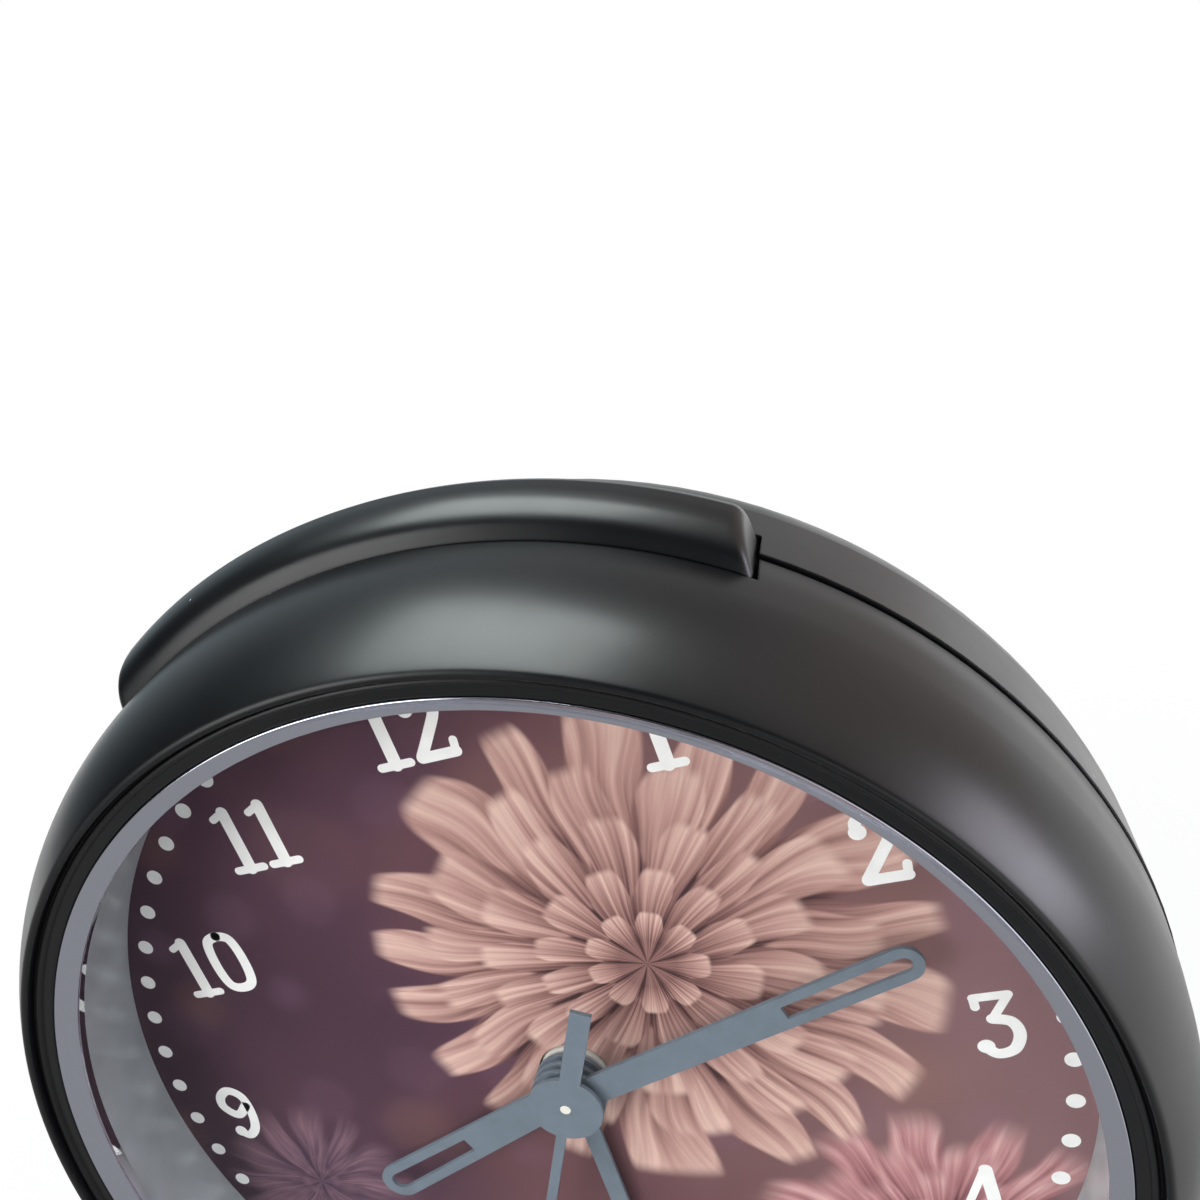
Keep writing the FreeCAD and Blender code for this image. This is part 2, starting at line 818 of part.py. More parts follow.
def make_movement_tray():
    """Front half of the movement case, with the centre bush and the pivot holes."""
    plate = block(-movement_half_x, movement_half_x, movement_front_y, tray_in_y, movement_low_z,
                  movement_top_z)
    parts = [plate, movement_ring(tray_in_y, movement_split_y)]
    parts.append(disc(bush_r, bush_front_y, movement_front_y + over / 2))
    parts.append(disc(motion_post_r, tray_in_y - over / 2, centre_level - wheel_gap, motion_at))
    ear_root_x = movement_half_x - movement_wall / 2
    ear_end_x = movement_half_x + ear_long
    for side in (-1, 1):
        low, high = sorted((side * ear_root_x, side * ear_end_x))
        parts.append(block(low, high, tray_in_y, tray_in_y + ear_thick, -ear_half_z, ear_half_z))
    tray = joined(parts)
    tray = tray.cut(disc(alarm_out + run_clear, bush_front_y - over, tray_in_y + over))
    for at in (third_at, fifth_at, rotor_at, setting_at, alarm_at):
        tray = tray.cut(disc(arbor_r + pivot_clear, tray_in_y - movement_plate / 2, tray_in_y + over, at))
    ear_back_y = tray_in_y + ear_thick
    for side in (-1, 1):
        tray = tray.cut(disc(ear_screw_shank_r + run_clear, 0, ear_back_y + over, (side * ear_screw_x, 0)))
    return tray


def make_movement_cover():
    """Back half of the movement case, with pivot bosses and holes for the two setting shafts."""
    plate = block(-movement_half_x, movement_half_x, cover_in_y, movement_back_y, movement_low_z,
                  movement_top_z)
    parts = [plate, movement_ring(movement_split_y, cover_in_y + over / 2)]
    boss_y = rotor_level
    for at in ((0, 0), third_at):
        parts.append(disc(pivot_boss_r, boss_y, cover_in_y + over / 2, at))
    cover = joined(parts)
    for at in ((0, 0), third_at, fifth_at, rotor_at):
        cover = cover.cut(disc(arbor_r + pivot_clear, boss_y - over, cover_in_y + movement_cover / 2, at))
    for at in (setting_at, alarm_at):
        cover = cover.cut(disc(shaft_r + run_clear, cover_in_y - over, movement_back_y + over, at))
    return cover


def arbor_ends():
    """Where a full-height arbor starts and stops inside its two pivot holes."""
    return tray_in_y - movement_plate / 2 + wheel_gap / 2, cover_in_y + movement_cover / 2 - wheel_gap / 2


def make_alarm_wheel():
    """Alarm wheel and the pipe that carries the alarm hand."""
    wheel = gear(alarm_teeth, motion_module, alarm_level, phase=0)
    pipe = disc(alarm_out, alarm_hand_y, alarm_level + wheel_thick)
    return joined([wheel, pipe]).cut(disc(alarm_in, alarm_hand_y - over, alarm_level + wheel_thick + over))


def make_hour_wheel():
    """Hour wheel and its pipe."""
    wheel = gear(hour_teeth, hour_module, hour_level, phase=meshed(hour_teeth, 180.0))
    pipe = disc(hour_out, hour_hand_y, hour_level + wheel_thick)
    return joined([wheel, pipe]).cut(disc(hour_in, hour_hand_y - over, hour_level + wheel_thick + over))


def make_minute_pinion():
    """Cannon pinion with its long pipe, gripped by the centre wheel at the tail."""
    wheel = gear(minute_teeth, motion_module, motion_level, phase=meshed(minute_teeth, 180.0))
    pipe = disc(minute_out, minute_hand_y, motion_level + wheel_thick)
    tail = disc(minute_out - run_clear, motion_level, centre_level + wheel_thick)
    pinion = joined([wheel, pipe, tail])
    return pinion.cut(disc(minute_in, minute_hand_y - over, centre_level + wheel_thick + over))


def make_motion_wheel():
    """Motion wheel and pinion, loose on their post."""
    bore = motion_post_r + run_clear
    wheel = gear(motion_teeth, motion_module, motion_level, motion_at, phase=0)
    pinion = gear(motion_pinion_teeth, hour_module, hour_level, motion_at, phase=0, thick=pinion_thick)
    return joined([wheel, pinion]).cut(disc(bore, hour_level - over, centre_level, motion_at))


def make_centre_wheel():
    """Centre wheel, which drives the minute pinion through friction."""
    return gear(centre_teeth, centre_module, centre_level, bore=minute_out,
                phase=meshed(centre_teeth, 270.0))


def make_third_wheel():
    """Third wheel and pinion on their arbor."""
    y0, y1 = arbor_ends()
    wheel = gear(third_teeth, tooth_module, third_level, third_at, phase=meshed(third_teeth, 90.0))
    pinion = gear(third_pinion_teeth, centre_module, centre_level, third_at, phase=90.0,
                  thick=pinion_thick)
    return joined([disc(arbor_r, y0, y1, third_at), wheel, pinion])


def make_seconds_wheel():
    """Seconds wheel, its pinion and the long arbor up to the seconds hand."""
    y1 = arbor_ends()[1]
    wheel = gear(seconds_teeth, tooth_module, seconds_level, phase=meshed(seconds_teeth, 90.0))
    pinion = gear(seconds_pinion_teeth, tooth_module, third_level, phase=270.0, thick=pinion_thick)
    return joined([disc(arbor_r, seconds_hand_y, y1), wheel, pinion])


def make_fifth_wheel():
    """Fifth wheel and pinion between the rotor and the seconds wheel."""
    y0, y1 = arbor_ends()
    wheel = gear(fifth_teeth, tooth_module, fifth_level, fifth_at, phase=meshed(fifth_teeth, 0.0))
    pinion = gear(fifth_pinion_teeth, tooth_module, seconds_level, fifth_at, phase=270.0,
                  thick=pinion_thick)
    return joined([disc(arbor_r, y0, y1, fifth_at), wheel, pinion])


def make_rotor():
    """Round magnet with its pinion."""
    y0, y1 = arbor_ends()
    pinion = gear(rotor_teeth, tooth_module, fifth_level, rotor_at, phase=180.0, thick=pinion_thick)
    magnet = disc(magnet_r, rotor_level, rotor_level + magnet_thick, rotor_at)
    return joined([disc(arbor_r, y0, y1, rotor_at), pinion, magnet])


def make_stator():
    """Soft iron strip around the magnet, with an arm along to the coil's far end."""
    y0 = rotor_level + (magnet_thick - stator_thick) / 2
    y1 = y0 + stator_thick
    hole_r = magnet_r + stator_clear
    x, z = rotor_at
    foot_z = coil_z - coil_core_r
    cheek = block(x - hole_r - stator_margin / 2, x + hole_r + stator_margin, y0, y1,
                  z - hole_r - stator_margin, coil_z + coil_core_r)
    arm = block(coil_x - coil_half_x - stator_margin, x, y0, y1, foot_z, coil_z + coil_core_r)
    strip = joined([cheek, arm])
    return strip.cut(disc(hole_r, y0 - over, y1 + over, rotor_at))


def make_coil():
    """Wound bobbin on its core, whose ends reach back to the stator."""
    y_back = rotor_level + (magnet_thick - stator_thick) / 2
    left = coil_x - coil_half_x
    right = coil_x + coil_half_x
    length = right - left
    axis_x = V(1, 0, 0)
    winding_r = coil_r - (coil_flange_r - coil_r) / 2
    winding = Part.makeCylinder(winding_r, length, V(left, coil_y, coil_z), axis_x)
    parts = [winding]
    for x0 in (left, right - coil_flange):
        parts.append(Part.makeCylinder(coil_r, coil_flange, V(x0, coil_y, coil_z), axis_x))
    for x0 in (left - stator_margin, right):
        parts.append(block(x0, x0 + stator_margin, coil_y - coil_core_r, y_back,
                           coil_z - coil_core_r, coil_z + coil_core_r))
    return joined(parts)


def make_circuit_board():
    """Control board at the side of the movement, on the cover."""
    y1 = cover_in_y
    y0 = y1 - circuit_thick
    return block(circuit_x, circuit_x + circuit_wide, y0, y1,
                 circuit_low_z - circuit_tall, circuit_low_z)


def make_clock_chip():
    """Potted chip, a round blob on the board."""
    x = circuit_x + circuit_wide / 2
    y1 = cover_in_y - circuit_thick
    return disc(chip_r, y1 - chip_tall, y1, (x, circuit_low_z - circuit_tall / 2))


def make_quartz_crystal():
    """Quartz can lying on the board."""
    x = circuit_x + circuit_wide / 2 - crystal_long / 2
    y = cover_in_y - circuit_thick - crystal_r
    z = circuit_low_z - crystal_r - run_clear
    return Part.makeCylinder(crystal_r, crystal_long, V(x, y, z), V(1, 0, 0))


def hand_blank(y0, root_wide, tip_wide, length):
    """Flat hand pointing to twelve, widening to a rounded tip."""
    tip_r = tip_wide / 2
    half = root_wide / 2
    shoulder = length - tip_r
    edges = [
        Part.LineSegment(V(-half, y0, 0), V(-tip_r, y0, shoulder)).toShape(),
        Part.Arc(V(-tip_r, y0, shoulder), V(0, y0, length), V(tip_r, y0, shoulder)).toShape(),
        Part.LineSegment(V(tip_r, y0, shoulder), V(half, y0, 0)).toShape(),
        Part.LineSegment(V(half, y0, 0), V(-half, y0, 0)).toShape(),
    ]
    return Part.Face(Part.Wire(edges)).extrude(V(0, hand_thick, 0))


def hand(y0, root_wide, tip_wide, length, bore, angle, slot_from=0.0, side_bar=0.0, tail=0.0):
    """Finished hand with its hub, open slot or tail, turned to its angle."""
    body = hand_blank(y0, root_wide, tip_wide, length)
    body = body.fuse(disc(hub_r, y0, y0 + hand_thick))
    body = body.fuse(disc(bore + pipe_wall, y0, y0 + hand_thick + hub_tall))
    if tail > 0:
        body = body.fuse(block(-root_wide, root_wide, y0, y0 + hand_thick, -tail, 0))
    if slot_from > 0:
        slot_r = tip_wide / 2 - side_bar
        root = root_wide / 2 + (tip_wide - root_wide) / 2 * slot_from / length - side_bar
        top = length - tip_wide / 2
        y1 = y0 - over
        edges = [
            Part.LineSegment(V(-root, y1, slot_from), V(-slot_r, y1, top)).toShape(),
            Part.Arc(V(-slot_r, y1, top), V(0, y1, top + slot_r), V(slot_r, y1, top)).toShape(),
            Part.LineSegment(V(slot_r, y1, top), V(root, y1, slot_from)).toShape(),
            Part.LineSegment(V(root, y1, slot_from), V(-root, y1, slot_from)).toShape(),
        ]
        slot = Part.Face(Part.Wire(edges)).extrude(V(0, hand_thick + 2 * over, 0))
        body = body.cut(slot)
    body = body.removeSplitter()
    if bore > 0:
        body = body.cut(disc(bore + fit_clear, y0 - over, y0 + hand_thick + hub_tall + over))
    body.rotate(V(0, 0, 0), axis_dir, angle)
    return body


def make_setting_shaft(at, wheel):
    """Shaft from the front pivot to the knob's socket, with its wheel."""
    y0 = arbor_ends()[0]
    pin = disc(arbor_r, y0, tray_in_y + wheel_gap / 2, at)
    shaft = disc(shaft_r, tray_in_y + wheel_gap / 2, knob_front_y + knob_socket, at)
    return joined([shaft, pin, wheel])


def make_time_shaft():
    """Setting shaft of the time train."""
    wheel = gear(setting_teeth, motion_module, motion_level, setting_at, phase=meshed(setting_teeth, 0.0))
    return make_setting_shaft(setting_at, wheel)


def make_alarm_shaft():
    """Setting shaft of the alarm train."""
    wheel = gear(alarm_pinion_teeth, motion_module, alarm_level, alarm_at,
                 phase=meshed(alarm_pinion_teeth, 180.0))
    return make_setting_shaft(alarm_at, wheel)


def make_knob(at):
    """Fluted knob with a socket for its shaft."""
    body = disc(knob_r, knob_front_y, knob_back_y, at)
    rim = [edge for edge in body.Edges if abs(edge.BoundBox.YMin - knob_back_y) < fit_clear
           and edge.BoundBox.XLength > knob_r]
    body = body.makeChamfer(knob_round, rim)
    for angle in spaced(knob_flutes):
        x, z = polar(knob_r + knob_flute_r / 2, angle)
        body = body.cut(disc(knob_flute_r, knob_front_y - over, knob_back_y + over, (at[0] + x, at[1] + z)))
    socket_y = knob_front_y + knob_socket + fit_clear
    return body.cut(disc(shaft_r + fit_clear, knob_front_y - over, socket_y, at))


def make_alarm_slider():
    """Thumb slider with the plate that keeps it behind the back wall."""
    plate_back = inner_back_y - slide_gap
    thumb = block(slide_x - slide_half_x, slide_x + slide_half_x, plate_back - slide_plate / 2,
                  back_y + slide_stand, slide_z - slide_half_z, slide_z + slide_half_z)
    over_x = slide_half_x + slide_plate_over
    over_z = slide_half_z + slide_plate_over
    plate = block(slide_x - over_x, slide_x + over_x, plate_back - slide_plate, plate_back,
                  slide_z - over_z, slide_z + over_z)
    return joined([thumb, plate])


def make_alarm_switch():
    """Switch body that the slider's plate runs on."""
    front = inner_back_y - slide_gap - slide_plate - slide_gap
    over_z = slide_half_z + slide_plate_over
    right_x = slide_x + slide_travel + slide_body_over
    return block(slide_x - slide_body_over, right_x, front - slide_body_deep, front,
                 slide_z - over_z, slide_z + over_z)


def make_sounder():
    """Sounder capsule behind the holes."""
    return disc(sounder_r, inner_back_y - sounder_deep, inner_back_y, (0, sounder_z))


def make_battery():
    """Round cell lying across the clock."""
    left = -cell_long / 2
    cell = Part.makeCylinder(cell_r, cell_long - cell_nub, V(left, cell_y, cell_z), V(1, 0, 0))
    nub = Part.makeCylinder(cell_nub_r, cell_nub, V(-left - cell_nub, cell_y, cell_z), V(1, 0, 0))
    return joined([cell, nub])


def make_plus_contact():
    """Flat strip at the nub end, with a raised dimple."""
    x1 = bay_half_x
    strip = block(x1 - contact_thick, x1, cell_y - contact_half, cell_y + contact_half,
                  cell_z - contact_half, cell_z + contact_half)
    reach = x1 - contact_thick - cell_long / 2
    dimple = Part.makeCylinder(cell_nub_r, reach, V(cell_long / 2, cell_y, cell_z), V(1, 0, 0))
    return joined([strip, dimple])


def make_minus_contact():
    """Strip with the coil spring that presses on the flat end."""
    x0 = -bay_half_x
    strip = block(x0, x0 + contact_thick, cell_y - contact_half, cell_y + contact_half,
                  cell_z - contact_half, cell_z + contact_half)
    reach = bay_half_x - contact_thick - cell_long / 2
    spring = coil(contact_spring_r, contact_wire_r, contact_turns, 0, reach + contact_wire_r, 0, 0)
    spring.rotate(V(0, 0, 0), axis_dir, 90)
    spring.translate(V(x0 + contact_thick - contact_wire_r, cell_y, cell_z))
    return joined([strip, spring])


def make_battery_door():
    """Flush door with grip ridges."""
    low = cell_z - cell_r - bay_clear + bay_step
    high = cell_z + cell_r + bay_clear - bay_step
    half = bay_half_x - bay_step
    plate = block(-half - door_over, half + door_over, back_y - door_thick, back_y,
                  low - door_over, high + door_over)
    tongue = block(-half + door_clear, half - door_clear, inner_back_y, back_y - door_thick / 2,
                   low + door_clear, high - door_clear)
    parts = [plate, tongue]
    for k in range(door_grip_count):
        z = high - door_over - 2 * door_grip_ridge - k * 3 * door_grip_ridge
        parts.append(block(-door_grip, door_grip, back_y - door_thick / 2, back_y + door_grip_ridge,
                           z - door_grip_ridge / 2, z + door_grip_ridge / 2))
    return joined(parts)


def make_case_screws():
    """Four equal screws that join the shells."""
    screws = []
    for at in post_places():
        screws.append(screw(at, screw_seat_y, screw_head, screw_head_r, screw_shank_r, screw_tip_y))
    return Part.makeCompound(screws)


def make_movement_screws():
    """Two small screws through the movement's ears."""
    head_y = tray_in_y + ear_thick
    screws = []
    for side in (-1, 1):
        screws.append(screw((side * ear_screw_x, 0), head_y, ear_screw_head, ear_screw_head_r,
                            ear_screw_shank_r, tray_in_y - ear_screw_sunk))
    return Part.makeCompound(screws)


def make_foot_pad(side, mid_y):
    """Soft pad under one lug."""
    x = side * foot_x
    half_x = foot_half_x - pad_inset
    half_y = foot_half_y - pad_inset
    return block(x - half_x, x + half_x, mid_y - half_y, mid_y + half_y, -foot_drop - pad_thick, -foot_drop)


pieces = {
    "front_shell": make_front_shell(),
    "mirror_ring": make_mirror_ring(),
    "lens": make_lens(),
    "dial_card": make_dial_card(),
    "dial_plate": make_dial_plate(),
    "rear_shell": make_rear_shell(),
    "case_screws": make_case_screws(),
    "foot_pad_front_left": make_foot_pad(-1, foot_front_y),
    "foot_pad_front_right": make_foot_pad(1, foot_front_y),
    "foot_pad_rear_left": make_foot_pad(-1, foot_rear_y),
    "foot_pad_rear_right": make_foot_pad(1, foot_rear_y),
    "snooze_bar": make_snooze_bar(),
    "snooze_springs": make_snooze_springs(),
    "switch_board": make_switch_board(),
    "snooze_switch": make_snooze_switch(),
    "movement_tray": make_movement_tray(),
    "movement_cover": make_movement_cover(),
    "movement_screws": make_movement_screws(),
    "alarm_wheel": make_alarm_wheel(),
    "hour_wheel": make_hour_wheel(),
    "minute_pinion": make_minute_pinion(),
    "motion_wheel": make_motion_wheel(),
    "centre_wheel": make_centre_wheel(),
    "third_wheel": make_third_wheel(),
    "seconds_wheel": make_seconds_wheel(),
    "fifth_wheel": make_fifth_wheel(),
    "rotor": make_rotor(),
    "stator": make_stator(),
    "coil": make_coil(),
    "circuit_board": make_circuit_board(),
    "clock_chip": make_clock_chip(),
    "quartz_crystal": make_quartz_crystal(),
    "minute_hand": hand(minute_hand_y, minute_root_wide, minute_wide, minute_long, minute_out,
                        minute_angle, minute_slot_from, minute_bar),
    "hour_hand": hand(hour_hand_y, hour_root_wide, hour_wide, hour_long, hour_out,
                      hour_angle, hour_slot_from, hour_bar),
    "alarm_hand": hand(alarm_hand_y, alarm_wide, alarm_wide, alarm_long, alarm_out, alarm_angle),
    "seconds_hand": hand(seconds_hand_y, seconds_wide, seconds_wide, seconds_long, arbor_r,
                         seconds_angle, tail=seconds_tail),
    "time_shaft": make_time_shaft(),
    "time_knob": make_knob(setting_at),
    "alarm_shaft": make_alarm_shaft(),
    "alarm_knob": make_knob(alarm_at),
    "alarm_slider": make_alarm_slider(),
    "alarm_switch": make_alarm_switch(),
    "sounder": make_sounder(),
    "battery": make_battery(),
    "battery_plus_contact": make_plus_contact(),
    "battery_minus_contact": make_minus_contact(),
    "battery_door": make_battery_door(),
}

os.makedirs("parts", exist_ok=True)
for name, shape in pieces.items():
    shape.translate(home)
    shape.exportStep("parts/" + name + ".step")
    print(name, len(shape.Solids), shape.isValid(), round(shape.Volume, 2))
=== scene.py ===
"""Round bedside alarm clock: moulded black case, plated ring, printed dial and snooze bar.

All sizes are real millimetres, measured from the middle of the dial's front face: X to the
right, Y to the back and Z up. A section is a list of (radius, depth) points.
"""
import json
import math

import bmesh
import bpy
from mathutils import Matrix, Vector


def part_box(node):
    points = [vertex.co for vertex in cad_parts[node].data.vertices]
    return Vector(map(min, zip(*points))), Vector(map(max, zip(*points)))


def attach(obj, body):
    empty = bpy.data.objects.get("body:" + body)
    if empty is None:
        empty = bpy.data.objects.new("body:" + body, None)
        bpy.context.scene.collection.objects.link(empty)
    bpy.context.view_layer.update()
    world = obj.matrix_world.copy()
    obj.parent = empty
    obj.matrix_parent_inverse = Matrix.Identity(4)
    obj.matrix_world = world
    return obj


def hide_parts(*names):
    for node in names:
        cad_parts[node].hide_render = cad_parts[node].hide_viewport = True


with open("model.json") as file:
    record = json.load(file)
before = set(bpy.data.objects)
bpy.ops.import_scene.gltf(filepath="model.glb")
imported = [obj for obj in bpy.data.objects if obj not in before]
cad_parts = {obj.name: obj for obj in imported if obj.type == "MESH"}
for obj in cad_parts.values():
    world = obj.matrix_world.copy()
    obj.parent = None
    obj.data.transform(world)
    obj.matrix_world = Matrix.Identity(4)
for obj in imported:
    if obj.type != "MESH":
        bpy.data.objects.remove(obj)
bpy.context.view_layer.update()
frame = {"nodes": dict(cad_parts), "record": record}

MM = 0.001
card_low, card_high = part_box("dial_card")
DIAL = Vector(((card_low.x + card_high.x) / 2, card_low.y, (card_low.z + card_high.z) / 2))
TURN_STEPS = 288

# Case section, in radius and depth
RIM_INNER_R, RIM_FRONT_Y, LIP_BACK_Y = 47.3, -11.7, -9.7
CREASE_R, CREST_R, CREST_Y, ROLL_R, ROLL_END = 49.2, 49.5, -12.7, 0.6, 47.0
BEAD_R, BEAD_GAP = 0.35, 0.55
SIDE_R, SIDE_Y, SIDE_BULGE = 54.5, -3.0, 0.8
EDGE_R, CASE_R, SEAM_Y, WALL = 54.8, 55.0, 3.7, 2.0
INSIDE_R, INSIDE_Y, COLLAR_R = 50.9, -8.1, 50.5
EDGE_ROUND, EDGE_STEPS, SEAM_EDGE_STEPS = 0.18, 4, 3
ROLL_STEPS, BEAD_STEPS, SIDE_STEPS = 10, 10, 24
CASE_SMOOTH = 28.0

# Lugs over the front feet
LUG_INSET, LUG_TOP_Z, LUG_ROUND, LUG_ROUND_STEPS = 0.8, -48.6, 0.5, 3

# Plated ring and lens
RING_LIP_R, RING_LIP_Y, RING_FOOT_R, RING_BACK_R = 45.6, -10.65, 47.2, 48.5
RING_ROLL_R, RING_CLEAR, RING_FLANGE = 0.12, 0.05, 0.85
RING_WALL_DEPTHS = (-2.5, -5.0, -7.5, -9.5)
POLISH_START, POLISH_END = 0.1, 0.5
LENS_SETBACK, LENS_THICK, LENS_CLEAR, LENS_SMOOTH = 0.35, 1.4, 0.03, 30.0

# Snooze bar
BAR_HALF_X, BAR_SKIRT_R, BAR_CLEAR = 29.6, 52.2, 0.35
BAR_FRONT = [(54.8, 0.2), (56.2, 0.62), (57.3, 1.6), (58.0, 2.9), (58.4, 4.27)]
BAR_BACK = [(58.4, 4.27), (58.1, 5.6), (57.3, 6.9), (55.9, 7.8), (54.8, 8.0)]
BAR_FLOOR_Z = 42.0
BAR_END_ROUND, BAR_END_TURNS, BAR_ROUND_FROM_R = 0.7, (0, 22, 45, 68, 90), 54.7
BAR_LEAN_Y, BAR_LEAN_SHARE = 3.5, 0.8
BAR_LINE_STEPS, BAR_STEPS, BAR_SMOOTH = 6, 120, 24.0

# Dial card and its print
CARD_R, CARD_HOLE_R, CARD_THICK = 48.2, 3.6, 0.3
DOT_R, DOT_RING_R, DOT_COUNT, DOT_STEPS = 0.82, 45.2, 60, 28
PRINT_TURN = -2.0
NUMERAL_SHIFTS = {12: (-1.3, 0.0), 11: (-1.6, -0.9), 10: (0.7, 0.0)}
DIGIT_TALL, DIGIT_GAP, SINGLE_RING_R, DOUBLE_RING_R = 7.2, 0.05, 39.6, 38.4
PEN_SHARE, PEN_LINE_STEPS, PEN_CAP_STEPS = 1.15, 8, 8
INK_STEP = 0.006
STROKE_STEP = INK_STEP / 8

# Tones of the dial picture, as (place, colour) stops
DUSK = [(0.25, "#3c2835"), (0.48, "#513745"), (0.66, "#6a4a4e"), (0.86, "#7d5e5f"),
        (1.0, "#86676a")]
TAN = [(0.12, "#432e30"), (0.34, "#84605c"), (0.56, "#b68f87"), (0.82, "#dcbaae")]
ROSE = [(0.12, "#4d2f37"), (0.34, "#8a5a60"), (0.56, "#b58284"), (0.82, "#d8afac")]
MAUVE = [(0.12, "#38283a"), (0.34, "#57404f"), (0.56, "#765a66"), (0.82, "#94757b")]
DUSK_SPACING, DUSK_HALF_X, DUSK_DRIFT, DUSK_SHARE = 26.0, 48.0, 0.7, 0.72
LIGHT_SCATTER, LIGHT_CORE, SCREEN_SHARE = 0.4, 0.6, 0.05

# Blossoms: x, z, radius, petals, blur and tones, each over the ones before it
BLOSSOMS = [(40.0, 30.0, 13.0, 12.0, 6.0, MAUVE), (-34.0, -12.0, 12.0, 12.0, 6.0, MAUVE),
            (30.0, -26.0, 19.0, 14.0, 4.0, ROSE), (-12.0, -34.0, 15.0, 12.0, 3.0, ROSE),
            (11.0, 12.0, 27.0, 18.0, 2.0, TAN)]

# Petals: each tier's share of the radius with its turn, then waver, notches, streaks and shading
PETAL_TIERS = [(1.0, 0.0), (0.8, 0.9), (0.6, 0.3), (0.4, 1.2), (0.22, 0.5)]
TIER_THINNING, PETAL_WAVER, WAVER_SCALE = 0.12, 0.9, 1.1
NOTCH_SHARE, LOBE_FULL = 0.72, 0.85
STREAKS_ACROSS, STREAKS_ALONG = 1.2, 0.9
TIP_FROM, TIP_TONES = 0.45, (-0.22, 0.16)
RIDGE_FULL, RIDGE_TONES = 0.6, (-0.20, 0.06)

# Numerals: slab-footed figures with round ends, in shares of their height.
# Each digit is its width and its pen strokes, and each stroke is its points and its thickness.
STEM, THIN, SLAB, BOWL, NECK, ROOF, TAIL = 0.150, 0.095, 0.105, 0.13, 0.125, 0.12, 0.14
BALL, SMALL_BALL = 0.18, 0.17
DIGIT_STROKES = {
    "0": (0.62, [
        ([(0.31, 0.95), (0.13, 0.86), (0.08, 0.5), (0.13, 0.14), (0.31, 0.05), (0.49, 0.14),
          (0.54, 0.5), (0.49, 0.86), (0.31, 0.95)], BOWL)]),
    "1": (0.50, [
        ([(0.26, 0.05), (0.26, 0.94)], STEM),
        ([(0.26, 0.94), (0.08, 0.86)], THIN),
        ([(0.06, 0.05), (0.46, 0.05)], SLAB)]),
    "2": (0.60, [
        ([(0.12, 0.72), (0.13, 0.87), (0.30, 0.95), (0.48, 0.84), (0.47, 0.64), (0.30, 0.38),
          (0.08, 0.08)], NECK),
        ([(0.12, 0.73), (0.125, 0.735)], BALL),
        ([(0.08, 0.065), (0.54, 0.065)], BOWL),
        ([(0.54, 0.07), (0.56, 0.22)], THIN)]),
    "3": (0.60, [
        ([(0.10, 0.80), (0.10, 0.94)], THIN),
        ([(0.10, 0.94), (0.50, 0.94)], SLAB),
        ([(0.50, 0.93), (0.26, 0.60)], THIN),
        ([(0.26, 0.60), (0.46, 0.53), (0.52, 0.33), (0.42, 0.11), (0.22, 0.06),
          (0.10, 0.18)], BOWL),
        ([(0.10, 0.19), (0.105, 0.195)], BALL)]),
    "4": (0.64, [
        ([(0.40, 0.94), (0.07, 0.32)], THIN),
        ([(0.07, 0.31), (0.58, 0.31)], SLAB),
        ([(0.42, 0.94), (0.42, 0.05)], STEM),
        ([(0.26, 0.05), (0.58, 0.05)], SLAB)]),
    "5": (0.60, [
        ([(0.15, 0.93), (0.48, 0.93)], SLAB),
        ([(0.15, 0.93), (0.12, 0.55)], THIN),
        ([(0.12, 0.55), (0.32, 0.61), (0.50, 0.48), (0.51, 0.26), (0.38, 0.08), (0.20, 0.06),
          (0.10, 0.18)], BOWL),
        ([(0.10, 0.19), (0.105, 0.195)], BALL)]),
    "6": (0.60, [
        ([(0.45, 0.86), (0.33, 0.94), (0.17, 0.80), (0.09, 0.50), (0.11, 0.20), (0.29, 0.06),
          (0.47, 0.17), (0.50, 0.36), (0.33, 0.53), (0.13, 0.38)], BOWL),
        ([(0.45, 0.85), (0.455, 0.845)], SMALL_BALL)]),
    "7": (0.58, [
        ([(0.08, 0.78), (0.08, 0.93)], THIN),
        ([(0.08, 0.93), (0.54, 0.93)], ROOF),
        ([(0.53, 0.92), (0.36, 0.52), (0.27, 0.07)], TAIL)]),
    "8": (0.60, [
        ([(0.30, 0.53), (0.13, 0.64), (0.14, 0.86), (0.30, 0.95), (0.46, 0.86), (0.47, 0.64),
          (0.30, 0.53)], ROOF),
        ([(0.30, 0.53), (0.10, 0.40), (0.11, 0.14), (0.30, 0.05), (0.49, 0.14), (0.50, 0.40),
          (0.30, 0.53)], BOWL)]),
    "9": (0.60, [
        ([(0.15, 0.14), (0.27, 0.06), (0.43, 0.20), (0.51, 0.50), (0.49, 0.80), (0.31, 0.94),
          (0.13, 0.83), (0.10, 0.64), (0.27, 0.47), (0.47, 0.62)], BOWL),
        ([(0.15, 0.15), (0.155, 0.155)], SMALL_BALL)]),
}

